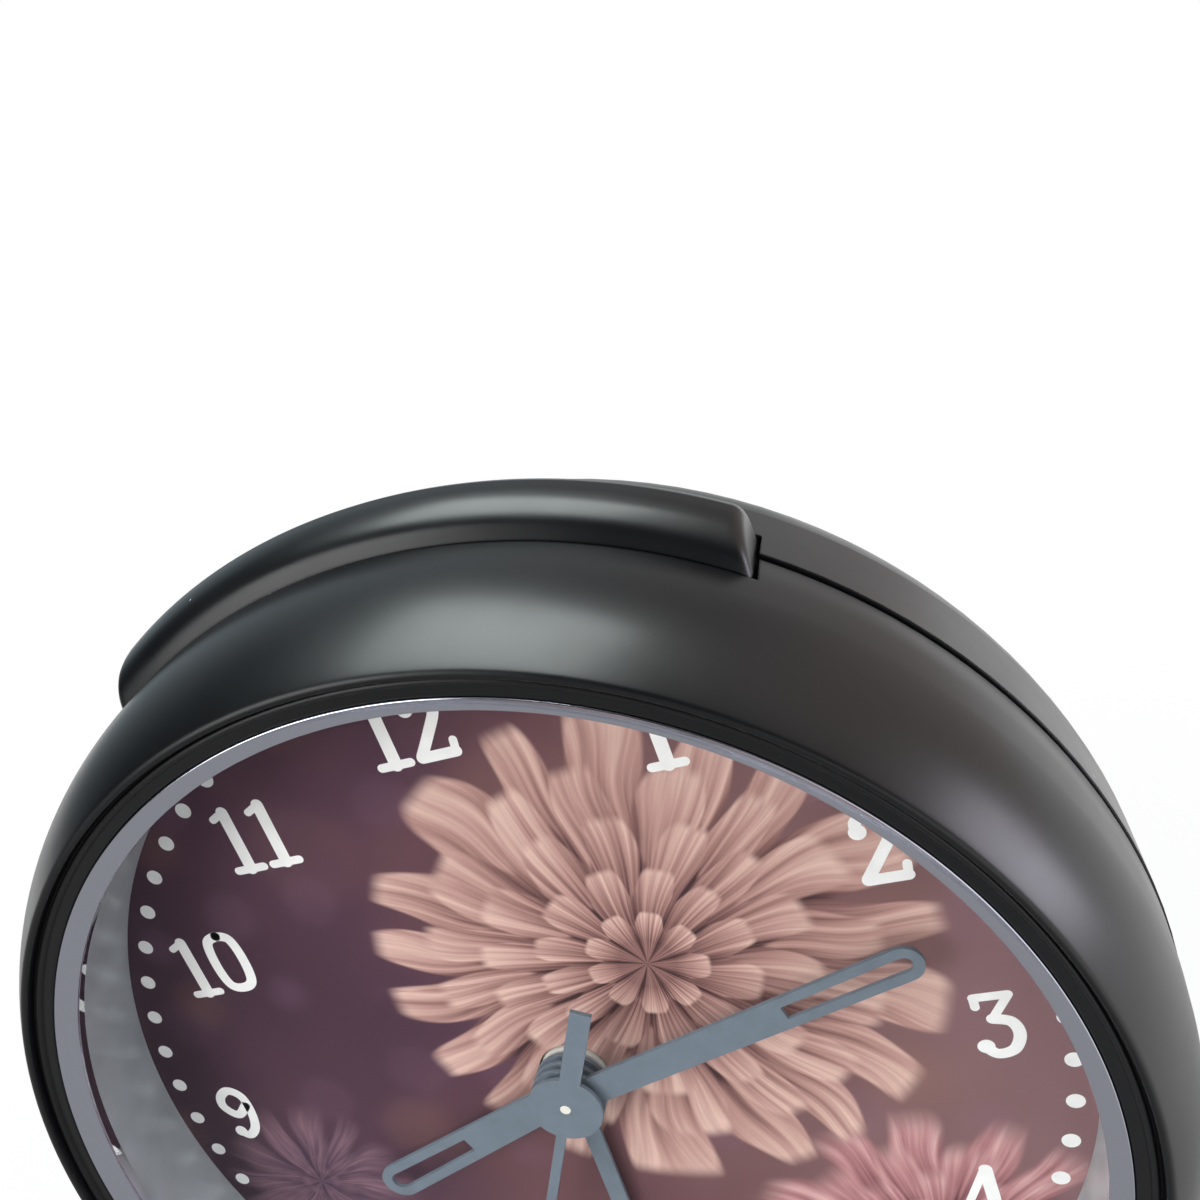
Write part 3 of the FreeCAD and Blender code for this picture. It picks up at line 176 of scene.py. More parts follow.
# Plain finishes: name, colour, roughness, texture spacing, strength and depth, and shader settings
FINISHES = {
    "white_styrene": ("moulded white polystyrene", "#dedcd6", 0.45, 0.4, 0.1, 0.02, {}),
    "acetal": ("moulded natural acetal", "#ece8dc", 0.35, 0.3, 0.06, 0.01,
               {"Subsurface_Weight": 0.05}),
    "painted_aluminium": ("matt painted aluminium", "#68747f", 0.5, 0.12, 0.12, 0.01, {}),
    "zinc_steel": ("zinc plated steel", "#b9bcc0", 0.28, 0.15, 0.15, 0.01, {"Metallic": 1.0}),
    "nickel_steel": ("nickel plated spring steel", "#c6c3ba", 0.22, 0.15, 0.1, 0.01,
                     {"Metallic": 1.0}),
    "silicon_iron": ("stamped silicon iron", "#8c8c8e", 0.45, 0.2, 0.2, 0.01, {"Metallic": 1.0}),
    "ferrite": ("sintered ferrite", "#2b2b2e", 0.6, 0.1, 0.3, 0.02, {}),
    "epoxy_board": ("glass epoxy board", "#1e4a2c", 0.35, 0.5, 0.1, 0.02, {}),
    "black_epoxy": ("moulded black epoxy", "#1b1b1d", 0.5, 0.2, 0.2, 0.02, {}),
    "crystal_can": ("drawn steel can", "#c9cacd", 0.2, 0.3, 0.05, 0.01, {"Metallic": 1.0}),
    "cell_jacket": ("plain film cell jacket", "#7d8087", 0.3, 0.6, 0.05, 0.01, {}),
    "grey_rubber": ("matt grey rubber", "#3a3a3b", 0.75, 0.15, 0.35, 0.03, {}),
}
DIAL_INK = ("white dial ink", "#f6f6f4", 0.5, 0.2, 0.04, 0.005)
TONE_SPREAD, TONE_LOW, TONE_HIGH = 12, 0.82, 1.12
SHEEN_SPREAD, SHEEN_SPAN, DRIFT_SPAN = 20, 0.08, (0.3, 0.7)
WIRE_ROW, WAVES_PER_SCALE = 0.3, 20

# Studio, in metres and shares of full light; a span is the low, high, low and high of a mapping
FLOOR_SIZE, FLOOR_CODE = 6.0, "#cfcfd2"
FLOOR_NEAR = (0.07, 0.20, 0.88, 1.0)
FLOOR_BACK, FLOOR_RIGHT = (-0.04, 0.10, 0.3, 1.0), (0.05, 0.14, 0.3, 1.0)
ROOM_BEHIND, ROOM_ABOVE = (0.0, 0.8, 0.02, 0.75), (0.7, 0.97, 0.0, 1.1)
ROOM_RIGHT, ROOM_RIGHT_BACK = (0.1, 0.8, 0.0, 0.95), (-0.9, -0.1, 0.0, 1.0)
ROOM_LEVEL, ROOM_TINT_SPAN = 0.85, (-0.5, 0.8)
ROOM_LEFT_CODE, ROOM_RIGHT_CODE = "#d3e3ea", "#ecdcd4"

# Lamps: name, place, aim and size in millimetres, then power in watts and colour
LAMPS = [("overhead_softbox", (-20, -60, 620), (0, 0, 30), 420, 4.0, "#eef8f6"),
         ("front_fill", (-380, -520, 240), (0, 0, 10), 380, 1.5, "#ffffff"),
         ("right_strip", (360, -40, 20), (20, 0, 10), 150, 0.4, "#f2efff")]

# Camera, fitted to the photo's rings, from the dial's middle in millimetres
CAMERA_AT = (39.881, -75.084, 75.083)
CAMERA_RIGHT = (0.94162, 0.19308, -0.27580)
CAMERA_DOWN = (-0.18435, -0.38977, -0.90227)
CAMERA_LENS, CAMERA_SENSOR, CAMERA_CLIP = 32.0, 36.0, 0.005
DIAL_TURN = 1.5


def linear(code):
    """Linear colour of an sRGB hex value."""
    parts = [int(code[k:k + 2], 16) / 255 for k in (1, 3, 5)]
    return tuple(c / 12.92 if c <= 0.04045 else ((c + 0.055) / 1.055) ** 2.4
                 for c in parts) + (1.0,)


def add(tree, kind, links=None, values=None, **settings):
    """A shader node with its settings, its fixed input values and its incoming links."""
    made = tree.nodes.new(kind)
    for name, value in settings.items():
        setattr(made, name, value)
    for name, value in (values or {}).items():
        made.inputs[name].default_value = value
    for name, source in (links or {}).items():
        tree.links.new(source, made.inputs[name])
    return made


def sorted_inputs(given):
    """Inputs parted into incoming links and fixed values."""
    links = {name: item for name, item in given.items() if isinstance(item, bpy.types.NodeSocket)}
    return links, {name: item for name, item in given.items() if name not in links}


def calc(tree, operation, *terms):
    """Result of a shader maths node; each term is a socket or a number."""
    links, values = sorted_inputs(dict(enumerate(terms)))
    return add(tree, "ShaderNodeMath", links, values, operation=operation).outputs["Value"]


def blend(tree, share, under, over, kind="MIX", data="RGBA"):
    """Two colours or levels mixed by a share; each is a socket or a fixed value."""
    links, values = sorted_inputs({"Factor": share, "A": under, "B": over})
    made = add(tree, "ShaderNodeMix", links, values, data_type=data, blend_type=kind)
    return made.outputs["Result"]


def fitted(tree, value, low=0.0, high=1.0, to_low=0.0, to_high=1.0, kind="LINEAR"):
    """A value mapped from one range to another."""
    span = {"From Min": low, "From Max": high, "To Min": to_low, "To Max": to_high}
    made = add(tree, "ShaderNodeMapRange", {"Value": value}, span, interpolation_type=kind)
    return made.outputs["Result"]


def axes(tree, vector):
    """The X, Y and Z of a vector."""
    return add(tree, "ShaderNodeSeparateXYZ", {"Vector": vector}).outputs


def noise(tree, where, spacing, detail, output="Fac"):
    """Soft noise whose features lie a spacing apart."""
    made = add(tree, "ShaderNodeTexNoise", {"Vector": where},
               {"Scale": 1 / spacing, "Detail": detail})
    return made.outputs[output]


def new_material(name, **values):
    """Material with one Principled shader, whose constants are set on its own sockets."""
    material = bpy.data.materials.new(name)
    material.use_nodes = True
    shader = material.node_tree.nodes["Principled BSDF"]
    for key, value in values.items():
        shader.inputs[key.replace("_", " ")].default_value = value
    return material, material.node_tree, shader


def millimetres(tree):
    """Object coordinates, in millimetres from the middle of the dial."""
    place = add(tree, "ShaderNodeTexCoord")
    return add(tree, "ShaderNodeMapping", {"Vector": place.outputs["Object"]},
               {"Scale": (1 / MM,) * 3, "Location": tuple(-DIAL / MM)}).outputs["Vector"]


def grain(tree, shader, where, spacing, strength, depth, edge=0.0):
    """Fine surface texture, with edges that look softened where an edge radius is given."""
    bump = add(tree, "ShaderNodeBump", {"Height": noise(tree, where, spacing, detail=3.0)},
               {"Strength": strength, "Distance": depth * MM})
    if edge:
        soft = add(tree, "ShaderNodeBevel", values={"Radius": edge * MM}, samples=4)
        tree.links.new(soft.outputs["Normal"], bump.inputs["Normal"])
    tree.links.new(bump.outputs["Normal"], shader.inputs["Normal"])


def vary_roughness(tree, shader, where, spacing, low, high):
    """Handling sheen: the roughness drifts slowly over the face."""
    drift = noise(tree, where, spacing, detail=4.0)
    tree.links.new(fitted(tree, drift, *DRIFT_SPAN, low, high), shader.inputs["Roughness"])


def dust(tree, where, spacing, radius, share):
    """Mask of round specks of dust, up to a radius and at a share of the places a spacing apart."""
    cells = add(tree, "ShaderNodeTexVoronoi", {"Vector": where}, {"Scale": 1 / spacing})
    chosen = add(tree, "ShaderNodeSeparateColor", {"Color": cells.outputs["Color"]})
    keep = calc(tree, "LESS_THAN", chosen.outputs["Red"], share)
    size = calc(tree, "MULTIPLY", chosen.outputs["Green"], radius / spacing)
    near = calc(tree, "LESS_THAN", cells.outputs["Distance"], size)
    return calc(tree, "MULTIPLY", keep, near)


def moulded_abs():
    """Black ABS from a spark-textured mould: a satin sheen, a fine tooth and a few dust specks."""
    material, tree, shader = new_material("moulded satin black ABS", IOR=1.54)
    where = millimetres(tree)
    tone = noise(tree, where, spacing=24.0, detail=3.0)
    body = blend(tree, tone, linear("#08090d"), linear("#0d0e10"))
    specks = dust(tree, where, spacing=3.2, radius=0.16, share=0.16)
    tree.links.new(blend(tree, specks, body, linear("#9aa0a4")), shader.inputs["Base Color"])
    vary_roughness(tree, shader, where, spacing=9.0, low=0.27, high=0.34)
    grain(tree, shader, where, spacing=0.22, strength=0.10, depth=0.02, edge=0.3)
    return material


def plated_abs():
    """Metallised ABS: a polished, faintly lavender lip and a satin grey wall with a slow ripple."""
    material, tree, shader = new_material("chrome plated ABS")
    where = millimetres(tree)
    lip = fitted(tree, axes(tree, where)["Y"], RING_LIP_Y + POLISH_END, RING_LIP_Y + POLISH_START)
    streaks = noise(tree, where, spacing=6.0, detail=2.0)
    wall = blend(tree, streaks, linear("#a5b0b2"), linear("#d3dbdf"))
    tree.links.new(blend(tree, lip, wall, linear("#dee1ef")), shader.inputs["Base Color"])
    tree.links.new(fitted(tree, lip, to_low=0.3, to_high=1.0), shader.inputs["Metallic"])
    tree.links.new(fitted(tree, lip, to_low=0.34, to_high=0.14), shader.inputs["Roughness"])
    grain(tree, shader, where, spacing=3.0, strength=0.22, depth=0.10)
    return material


def clear_acrylic():
    """Thin polished acrylic lens, its index lowered for the coating that keeps reflections off."""
    material, tree, shader = new_material("polished clear acrylic", IOR=1.12,
                                          Transmission_Weight=1.0)
    shader.inputs["Base Color"].default_value = linear("#ffffff")
    vary_roughness(tree, shader, millimetres(tree), spacing=12.0, low=0.0, high=0.015)
    path = add(tree, "ShaderNodeLightPath")
    clear = add(tree, "ShaderNodeBsdfTransparent")
    mix = add(tree, "ShaderNodeMixShader", {0: path.outputs["Is Shadow Ray"],
                                            1: shader.outputs["BSDF"], 2: clear.outputs["BSDF"]})
    tree.links.new(mix.outputs["Shader"], tree.nodes["Material Output"].inputs["Surface"])
    return material


def stops(tree, value, codes):
    """Colour ramp through (place, colour) pairs."""
    ramp = add(tree, "ShaderNodeValToRGB", {"Fac": value})
    for k, (at, code) in enumerate(codes):
        stop = ramp.color_ramp.elements[k] if k < 2 else ramp.color_ramp.elements.new(at)
        stop.position = at
        stop.color = linear(code)
    return ramp.outputs["Color"]


def lights(tree, where, under, spacing, radius, strength, code, start):
    """Round out-of-focus lights of one colour over the colour under them."""
    moved = add(tree, "ShaderNodeMapping", {"Vector": where},
                {"Location": start, "Scale": (1, 0, 1)})
    cells = add(tree, "ShaderNodeTexVoronoi", {"Vector": moved.outputs["Vector"]},
                {"Scale": 1 / spacing, "Randomness": LIGHT_SCATTER})
    soft = fitted(tree, cells.outputs["Distance"], radius / spacing,
                  LIGHT_CORE * radius / spacing, 0.0, strength, "SMOOTHSTEP")
    pick = add(tree, "ShaderNodeSeparateColor", {"Color": cells.outputs["Color"]})
    return blend(tree, calc(tree, "MULTIPLY", soft, pick.outputs["Green"]), under, linear(code))


def blossom(tree, where, under, x, z, radius, petals, blur, codes):
    """Double flower seen from above: tiers of streaked petals with pale tips and a shaded root."""
    moved = add(tree, "ShaderNodeVectorMath", {0: where}, {1: (x, 0.0, z)},
                operation="SUBTRACT").outputs["Vector"]
    parts = axes(tree, moved)
    across, up = parts["X"], parts["Z"]
    waver = noise(tree, moved, radius / WAVER_SCALE, detail=1.0)
    turn = calc(tree, "MULTIPLY_ADD", waver, PETAL_WAVER, calc(tree, "ARCTAN2", up, across))
    square = calc(tree, "MULTIPLY_ADD", up, up, calc(tree, "MULTIPLY", across, across))
    reach = calc(tree, "SQRT", square)
    for tier, (share, phase) in enumerate(PETAL_TIERS):
        size = share * radius
        count = float(round(petals * (1 - TIER_THINNING * tier)))
        wave = calc(tree, "MULTIPLY_ADD", turn, count / 2, phase)
        lobe = calc(tree, "ABSOLUTE", calc(tree, "SINE", wave))
        edge = fitted(tree, lobe, 0.0, LOBE_FULL, NOTCH_SHARE * size, size, "SMOOTHSTEP")
        inside = calc(tree, "SUBTRACT", edge, reach)
        mask = fitted(tree, inside, 0.0, blur * share, kind="SMOOTHSTEP")
        ray = add(tree, "ShaderNodeCombineXYZ",
                  {"X": calc(tree, "MULTIPLY", turn, petals * STREAKS_ACROSS),
                   "Y": calc(tree, "MULTIPLY", reach, STREAKS_ALONG / radius)},
                  {"Z": float(tier)}).outputs["Vector"]
        streak = noise(tree, ray, spacing=1.0, detail=4.0)
        tip = fitted(tree, reach, TIP_FROM * size, size, *TIP_TONES)
        ridge = fitted(tree, lobe, 0.0, RIDGE_FULL, *RIDGE_TONES, "SMOOTHSTEP")
        tone = calc(tree, "ADD", calc(tree, "ADD", streak, tip), ridge)
        under = blend(tree, mask, under, stops(tree, tone, codes))
    return under


def printed_card():
    """Satin print of pale dahlias before a garden at dusk: plum shade, mauve haze, tan and rose."""
    material, tree, shader = new_material("satin printed card", IOR=1.5, Specular_IOR_Level=0.12)
    where = millimetres(tree)
    drift = noise(tree, where, DUSK_SPACING, detail=2.0)
    across = fitted(tree, axes(tree, where)["X"], -DUSK_HALF_X, DUSK_HALF_X)
    drifted = calc(tree, "MULTIPLY_ADD", drift, DUSK_DRIFT, across)
    colour = stops(tree, calc(tree, "MULTIPLY", drifted, DUSK_SHARE), DUSK)
    colour = lights(tree, where, colour, spacing=17.0, radius=7.0, strength=0.30, code="#96705f",
                    start=(4.0, 0.0, 7.0))
    colour = lights(tree, where, colour, spacing=11.0, radius=4.2, strength=0.22, code="#8d6a86",
                    start=(31.0, 0.0, 12.0))
    for x, z, radius, petals, blur, codes in BLOSSOMS:
        colour = blossom(tree, where, colour, x, z, radius, petals, blur, codes)
    screen = noise(tree, where, spacing=0.25, detail=2.0, output="Color")
    colour = blend(tree, SCREEN_SHARE, colour, screen, "OVERLAY")
    tree.links.new(colour, shader.inputs["Base Color"])
    vary_roughness(tree, shader, where, spacing=14.0, low=0.42, high=0.5)
    return material


def plain(name, code, rough, spacing, strength, depth, settings=None):
    """Single-tone finish with a slow tone drift, its own surface texture and roughness drift."""
    material, tree, shader = new_material(name, **(settings or {}))
    where = millimetres(tree)
    tone = noise(tree, where, spacing * TONE_SPREAD, detail=4.0)
    shade = fitted(tree, tone, to_low=TONE_LOW, to_high=TONE_HIGH)
    tree.links.new(blend(tree, 1.0, linear(code), shade, "MULTIPLY"), shader.inputs["Base Color"])
    vary_roughness(tree, shader, where, spacing * SHEEN_SPREAD, rough, rough + SHEEN_SPAN)
    grain(tree, shader, where, spacing, strength, depth)
    return material


def wound_wire():
    """Enamelled copper wire wound in fine rows: warm, glossy ridges."""
    material, tree, shader = new_material("enamelled copper winding", Metallic=0.9, Roughness=0.3)
    shader.inputs["Base Color"].default_value = linear("#b0643c")
    rows = add(tree, "ShaderNodeTexWave", {"Vector": millimetres(tree)},
               {"Scale": 1 / (WIRE_ROW * WAVES_PER_SCALE)}, bands_direction="X")
    bump = add(tree, "ShaderNodeBump", {"Height": rows.outputs["Fac"]},
               {"Strength": 0.6, "Distance": 0.1 * MM})
    tree.links.new(bump.outputs["Normal"], shader.inputs["Normal"])
    return material


def dressed(name, mesh, material, body="case", smooth_angle=35.0):
    """A finished piece at its place, on its body, with its material and smooth faces."""
    piece = bpy.data.objects.new(name, mesh)
    bpy.context.scene.collection.objects.link(piece)
    mesh.materials.append(material)
    mesh.shade_smooth()
    mesh.set_sharp_from_angle(angle=math.radians(smooth_angle))
    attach(piece, body)
    return piece


def spot(x, y, z):
    """A point given from the dial's middle in millimetres, as metres in the clock's frame."""
    return DIAL + Vector((x, y, z)) * MM


def around(r, y, step):
    """A point at a radius and a depth, at one of the steps round the dial's axis."""
    turn = 2 * math.pi * step / TURN_STEPS
    return spot(r * math.sin(turn), y, r * math.cos(turn))


def arc(centre, r, start, end, steps):
    """Points on a circle in the (radius, depth) section, degrees from +radius towards +depth."""
    turns = [math.radians(start + (end - start) * k / steps) for k in range(steps + 1)]
    return [(centre[0] + r * math.cos(t), centre[1] + r * math.sin(t)) for t in turns]


def bowed(start, end, swell, steps):
    """Points of the arc from start to end that stands out to its chord's right by a swell."""
    a, b = Vector(start), Vector(end)
    along = (b - a) / 2
    radius = (along.length_squared + swell ** 2) / (2 * swell)
    across = Vector((along.y, -along.x)).normalized()
    centre = (a + b) / 2 + across * (swell - radius)
    half = math.asin(along.length / radius)
    turns = [half * (2 * k / steps - 1) for k in range(steps + 1)]
    return [tuple(centre + radius * (math.sin(t) * along.normalized() + math.cos(t) * across))
            for t in turns]


def smooth_line(points, steps):
    """Catmull-Rom line through the points."""
    line = []
    ends = [points[0]] + list(points) + [points[-1]]
    for k in range(1, len(ends) - 2):
        p0, p1, p2, p3 = (Vector(p) for p in ends[k - 1:k + 3])
        for s in range(steps):
            t = s / steps
            line.append(0.5 * (2 * p1 + (p2 - p0) * t + (2 * p0 - 5 * p1 + 4 * p2 - p3) * t ** 2
                               + (3 * p1 - p0 - 3 * p2 + p3) * t ** 3))
    return line + [Vector(points[-1])]


def add_box(work, low, high):
    """A box between two corners, given in metres."""
    bmesh.ops.create_cube(work, size=1.0)
    scale = Matrix.Diagonal((*(high - low), 1.0))
    work.transform(Matrix.Translation((low + high) / 2) @ scale)


def mesh_of(work, name):
    """The finished mesh of a work in progress, which is freed."""
    mesh = bpy.data.meshes.new(name)
    work.to_mesh(mesh)
    work.free()
    return mesh


def skinned(work, pairs, count, name):
    """Mesh of the faces between each pair of closed rows of points, turned outwards."""
    for here, there in pairs:
        for j in range(count):
            n = (j + 1) % count
            work.faces.new((here[j], here[n], there[n], there[j]))
    bmesh.ops.recalc_face_normals(work, faces=work.faces)
    return mesh_of(work, name)


def turned(name, section):
    """Mesh of a closed section turned all the way round the dial's axis."""
    work = bmesh.new()
    rows = [[work.verts.new(around(r, y, k)) for r, y in section] for k in range(TURN_STEPS)]
    return skinned(work, list(zip(rows, rows[1:] + rows[:1])), len(section), name)


def cut_away(mesh, low, high):
    """The mesh with a box taken out of it, exactly."""
    work = bmesh.new()
    add_box(work, spot(*low), spot(*high))
    cutter = bpy.data.objects.new("cutter", mesh_of(work, "cutter"))
    host = bpy.data.objects.new("host", mesh)
    for item in (cutter, host):
        bpy.context.scene.collection.objects.link(item)
    modifier = host.modifiers.new("cut", "BOOLEAN")
    modifier.operation = "DIFFERENCE"
    modifier.solver = "EXACT"
    modifier.object = cutter
    bpy.context.view_layer.update()
    evaluated = host.evaluated_get(bpy.context.evaluated_depsgraph_get())
    done = bpy.data.meshes.new_from_object(evaluated)
    for item in (cutter, host):
        bpy.data.objects.remove(item)
    return done


def front_case():
    """Front shell: lip, bead, rolled rim and side wall, with the snooze bar's gap in the top."""
    edge = EDGE_ROUND
    crease_turn = math.degrees(math.acos((CREASE_R - CREST_R) / ROLL_R))
    roll = arc((CREST_R, CREST_Y + ROLL_R), ROLL_R, -crease_turn, ROLL_END - 90.0, ROLL_STEPS)
    flank = bowed(roll[-1], (SIDE_R, SIDE_Y), SIDE_BULGE, SIDE_STEPS)
    section = arc((RIM_INNER_R + edge, RIM_FRONT_Y + edge), edge, 180, 270, EDGE_STEPS)
    section += arc((CREASE_R - BEAD_GAP, RIM_FRONT_Y), BEAD_R, 180, 360, BEAD_STEPS)
    section += [(CREASE_R - edge / 2, RIM_FRONT_Y)] + roll + flank[1:]
    section += [(EDGE_R, 0.0), (CASE_R, SEAM_Y - edge)]
    section += arc((CASE_R - edge, SEAM_Y - edge), edge, 0, 90, SEAM_EDGE_STEPS)[1:]
    section += [(EDGE_R - WALL, SEAM_Y), (EDGE_R - WALL, 0.0), (INSIDE_R, INSIDE_Y),
                (COLLAR_R, LIP_BACK_Y), (RIM_INNER_R, LIP_BACK_Y)]
    half = BAR_HALF_X + BAR_CLEAR
    low = (-half, BAR_FRONT[0][1] - BAR_CLEAR, BAR_FLOOR_Z)
    high = (half, SEAM_Y + WALL, CASE_R + WALL)
    piece = dressed("front_case", cut_away(turned("front_case", section), low, high),
                    MATERIALS["black_abs"], smooth_angle=CASE_SMOOTH)
    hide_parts("front_shell")


def front_lugs():
    """The two moulded lugs under the front shell, with softened edges."""
    inset = LUG_INSET * MM
    lugs = {"front_lug_left": "foot_pad_front_left", "front_lug_right": "foot_pad_front_right"}
    for name, pad in lugs.items():
        low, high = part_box(pad)
        work = bmesh.new()
        add_box(work, Vector((low.x - inset, low.y - inset, high.z)),
                Vector((high.x + inset, high.y + inset, spot(0, 0, LUG_TOP_Z).z)))
        bmesh.ops.bevel(work, geom=work.edges[:], offset=LUG_ROUND * MM, segments=LUG_ROUND_STEPS,
                        profile=0.5, affect="EDGES")
        dressed(name, mesh_of(work, "front_lug"), MATERIALS["black_abs"])


def ring_wall_r(y):
    """Inner radius of the plated ring at a depth."""
    return RING_LIP_R + (RING_FOOT_R - RING_LIP_R) * (y - RING_LIP_Y) / -RING_LIP_Y


def plated_ring():
    """Mirror ring: a narrow lip with rolled edges and a wall that runs back to the dial."""
    roll = RING_ROLL_R
    outer_r = RIM_INNER_R - RING_CLEAR
    section = arc((RING_LIP_R + roll, RING_LIP_Y + roll), roll, 180, 270, EDGE_STEPS)
    section += arc((outer_r - roll, RIM_FRONT_Y + roll), roll, 270, 360, EDGE_STEPS)
    section += [(outer_r, LIP_BACK_Y), (outer_r + RING_FLANGE, LIP_BACK_Y), (RING_BACK_R, 0.0),
                (RING_FOOT_R, 0.0)]
    section += [(ring_wall_r(y), y) for y in RING_WALL_DEPTHS]
    piece = dressed("plated_ring", turned("plated_ring", section), MATERIALS["plated_abs"])
    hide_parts("mirror_ring")


def bar_section():
    """Section of the snooze bar, from the front skirt over the ridge to the rear skirt."""
    front = [tuple(p) for p in smooth_line(BAR_FRONT, BAR_LINE_STEPS)]
    back = [tuple(p) for p in smooth_line(BAR_BACK, BAR_LINE_STEPS)]
    skirts = [(BAR_SKIRT_R, y) for y in (BAR_FRONT[0][1], BAR_BACK[-1][1])]
    return skirts[:1] + front + back[1:] + skirts[1:]


def snooze_press_bar():
    """Arched press bar with a crisp ridge, upright ends and rounded corners."""
    section = bar_section()
    middle_y = (BAR_FRONT[0][1] + BAR_BACK[-1][1]) / 2
    ends = [BAR_END_ROUND * (1 - math.cos(math.radians(a))) for a in BAR_END_TURNS]
    span = 2 * (BAR_HALF_X - BAR_END_ROUND)
    places = [-BAR_HALF_X + e for e in ends]
    places += [-BAR_HALF_X + BAR_END_ROUND + span * k / BAR_STEPS for k in range(1, BAR_STEPS)]
    places += [BAR_HALF_X - e for e in reversed(ends)]
    work = bmesh.new()
    rows = []
    for x in places:
        short = BAR_END_ROUND - min(BAR_HALF_X - abs(x), BAR_END_ROUND)
        inset = BAR_END_ROUND - math.sqrt(max(0.0, BAR_END_ROUND ** 2 - short ** 2))
        row = []
        for r, y in section:
            lean = max(-1.0, min(1.0, (y - middle_y) / BAR_LEAN_Y))
            drop = inset if r > BAR_ROUND_FROM_R else 0.0
            up = math.sqrt((r - drop) ** 2 - x * x)
            row.append(work.verts.new(spot(x, y - lean * inset * BAR_LEAN_SHARE, up)))
        rows.append(row)
    work.faces.new(rows[0])
    work.faces.new(list(reversed(rows[-1])))
    mesh = skinned(work, list(zip(rows, rows[1:])), len(section), "snooze_press_bar")
    piece = dressed("snooze_press_bar", mesh, MATERIALS["black_abs"], "snooze_bar",
                    smooth_angle=BAR_SMOOTH)
    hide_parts("snooze_bar")


def clear_lens():
    """Lens disc held behind the ring's lip."""
    front_y = RING_LIP_Y + LENS_SETBACK
    work = bmesh.new()
    rings = []
    for y in (front_y, front_y + LENS_THICK):
        r = ring_wall_r(y) - LENS_CLEAR
        rings.append([work.verts.new(around(r, y, k)) for k in range(TURN_STEPS)])
        work.faces.new(rings[-1])
    mesh = skinned(work, [rings], TURN_STEPS, "clear_lens")
    piece = dressed("clear_lens", mesh, MATERIALS["clear_acrylic"],
                    smooth_angle=LENS_SMOOTH)
    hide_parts("lens")


def picture_card():
    """Printed card, a thin ring-shaped sheet with a hole for the hands."""
    section = [(CARD_HOLE_R, 0.0), (CARD_R, 0.0), (CARD_R, CARD_THICK), (CARD_HOLE_R, CARD_THICK)]
    piece = dressed("picture_card", turned("picture_card", section), MATERIALS["printed_card"])
    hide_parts("dial_card")


def on_print(x, z):
    """A place on the print, which sits a little turned behind the ring."""
    turn = math.radians(PRINT_TURN)
    return x * math.cos(turn) + z * math.sin(turn), z * math.cos(turn) - x * math.sin(turn)


def pen_stroke(work, points, width, y):
    """One flat stroke of ink with round ends, in dial millimetres."""
    line = smooth_line(points, PEN_LINE_STEPS) if len(points) > 2 else [Vector(p) for p in points]
    half = width / 2
    left, right = [], []
    for k, here in enumerate(line):
        along = (line[min(k + 1, len(line) - 1)] - line[max(k - 1, 0)]).normalized()
        across = Vector((-along.y, along.x)) * half
        for side, p in ((left, here + across), (right, here - across)):
            side.append(work.verts.new(spot(p.x, y, p.y)))
    for k in range(len(line) - 1):
        work.faces.new((left[k], left[k + 1], right[k + 1], right[k]))
    for start, end, centre in ((right[0], left[0], line[0]), (left[-1], right[-1], line[-1])):
        hub = spot(centre.x, y, centre.y)
        arm = Vector((start.co.x - hub.x, start.co.z - hub.z)) / MM
        cap = [start]
        for s in range(1, PEN_CAP_STEPS):
            turn = -math.pi * s / PEN_CAP_STEPS
            x = arm.x * math.cos(turn) - arm.y * math.sin(turn)
            z = arm.x * math.sin(turn) + arm.y * math.cos(turn)
            cap.append(work.verts.new(spot(centre.x + x, y, centre.y + z)))
        work.faces.new(cap + [end])


def inked(work, name):
    """A flat print whose faces all look to the front."""
    work.normal_update()
    bmesh.ops.reverse_faces(work, faces=[f for f in work.faces if f.normal.y > 0])
    dressed(name, mesh_of(work, name), INK)


def dial_numerals():
    """Twelve white numerals, upright, on their circle; each stroke lies a little over the last."""
    work = bmesh.new()
    depth = -INK_STEP
    gap = DIGIT_GAP * DIGIT_TALL
    for hour in range(1, 13):
        text = str(hour)
        widths = [DIGIT_STROKES[c][0] * DIGIT_TALL for c in text]
        total = sum(widths) + gap * (len(text) - 1)
        turn = math.radians(hour * 30)
        ring_r = SINGLE_RING_R if len(text) == 1 or hour == 12 else DOUBLE_RING_R
        shift_x, shift_z = NUMERAL_SHIFTS.get(hour, (0.0, 0.0))
        x = ring_r * math.sin(turn) + shift_x - total / 2
        z = ring_r * math.cos(turn) + shift_z - DIGIT_TALL / 2
        for digit, width in zip(text, widths):
            for points, thick in DIGIT_STROKES[digit][1]:
                placed = [on_print(x + px * DIGIT_TALL, z + pz * DIGIT_TALL) for px, pz in points]
                pen_stroke(work, placed, PEN_SHARE * thick * DIGIT_TALL, depth)
                depth -= STROKE_STEP
            x += width + gap
    inked(work, "dial_numerals")


def minute_dots():
    """Sixty round minute dots."""
    work = bmesh.new()
    turns = [2 * math.pi * s / DOT_STEPS for s in range(DOT_STEPS)]
    for k in range(DOT_COUNT):
        turn = 2 * math.pi * k / DOT_COUNT
        x, z = on_print(DOT_RING_R * math.sin(turn), DOT_RING_R * math.cos(turn))
        rim = [spot(x + DOT_R * math.cos(t), -INK_STEP, z + DOT_R * math.sin(t)) for t in turns]
        work.faces.new([work.verts.new(point) for point in rim])
    inked(work, "minute_dots")


def finish_nodes():
    """Every carried-over solid gets its material, by the slot that the record names."""
    slots = {part["node"]: part["material_slot"] for part in frame["record"]["subparts"]}
    for name, item in frame["nodes"].items():
        item.data.materials.clear()
        item.data.materials.append(MATERIALS[slots[name]])


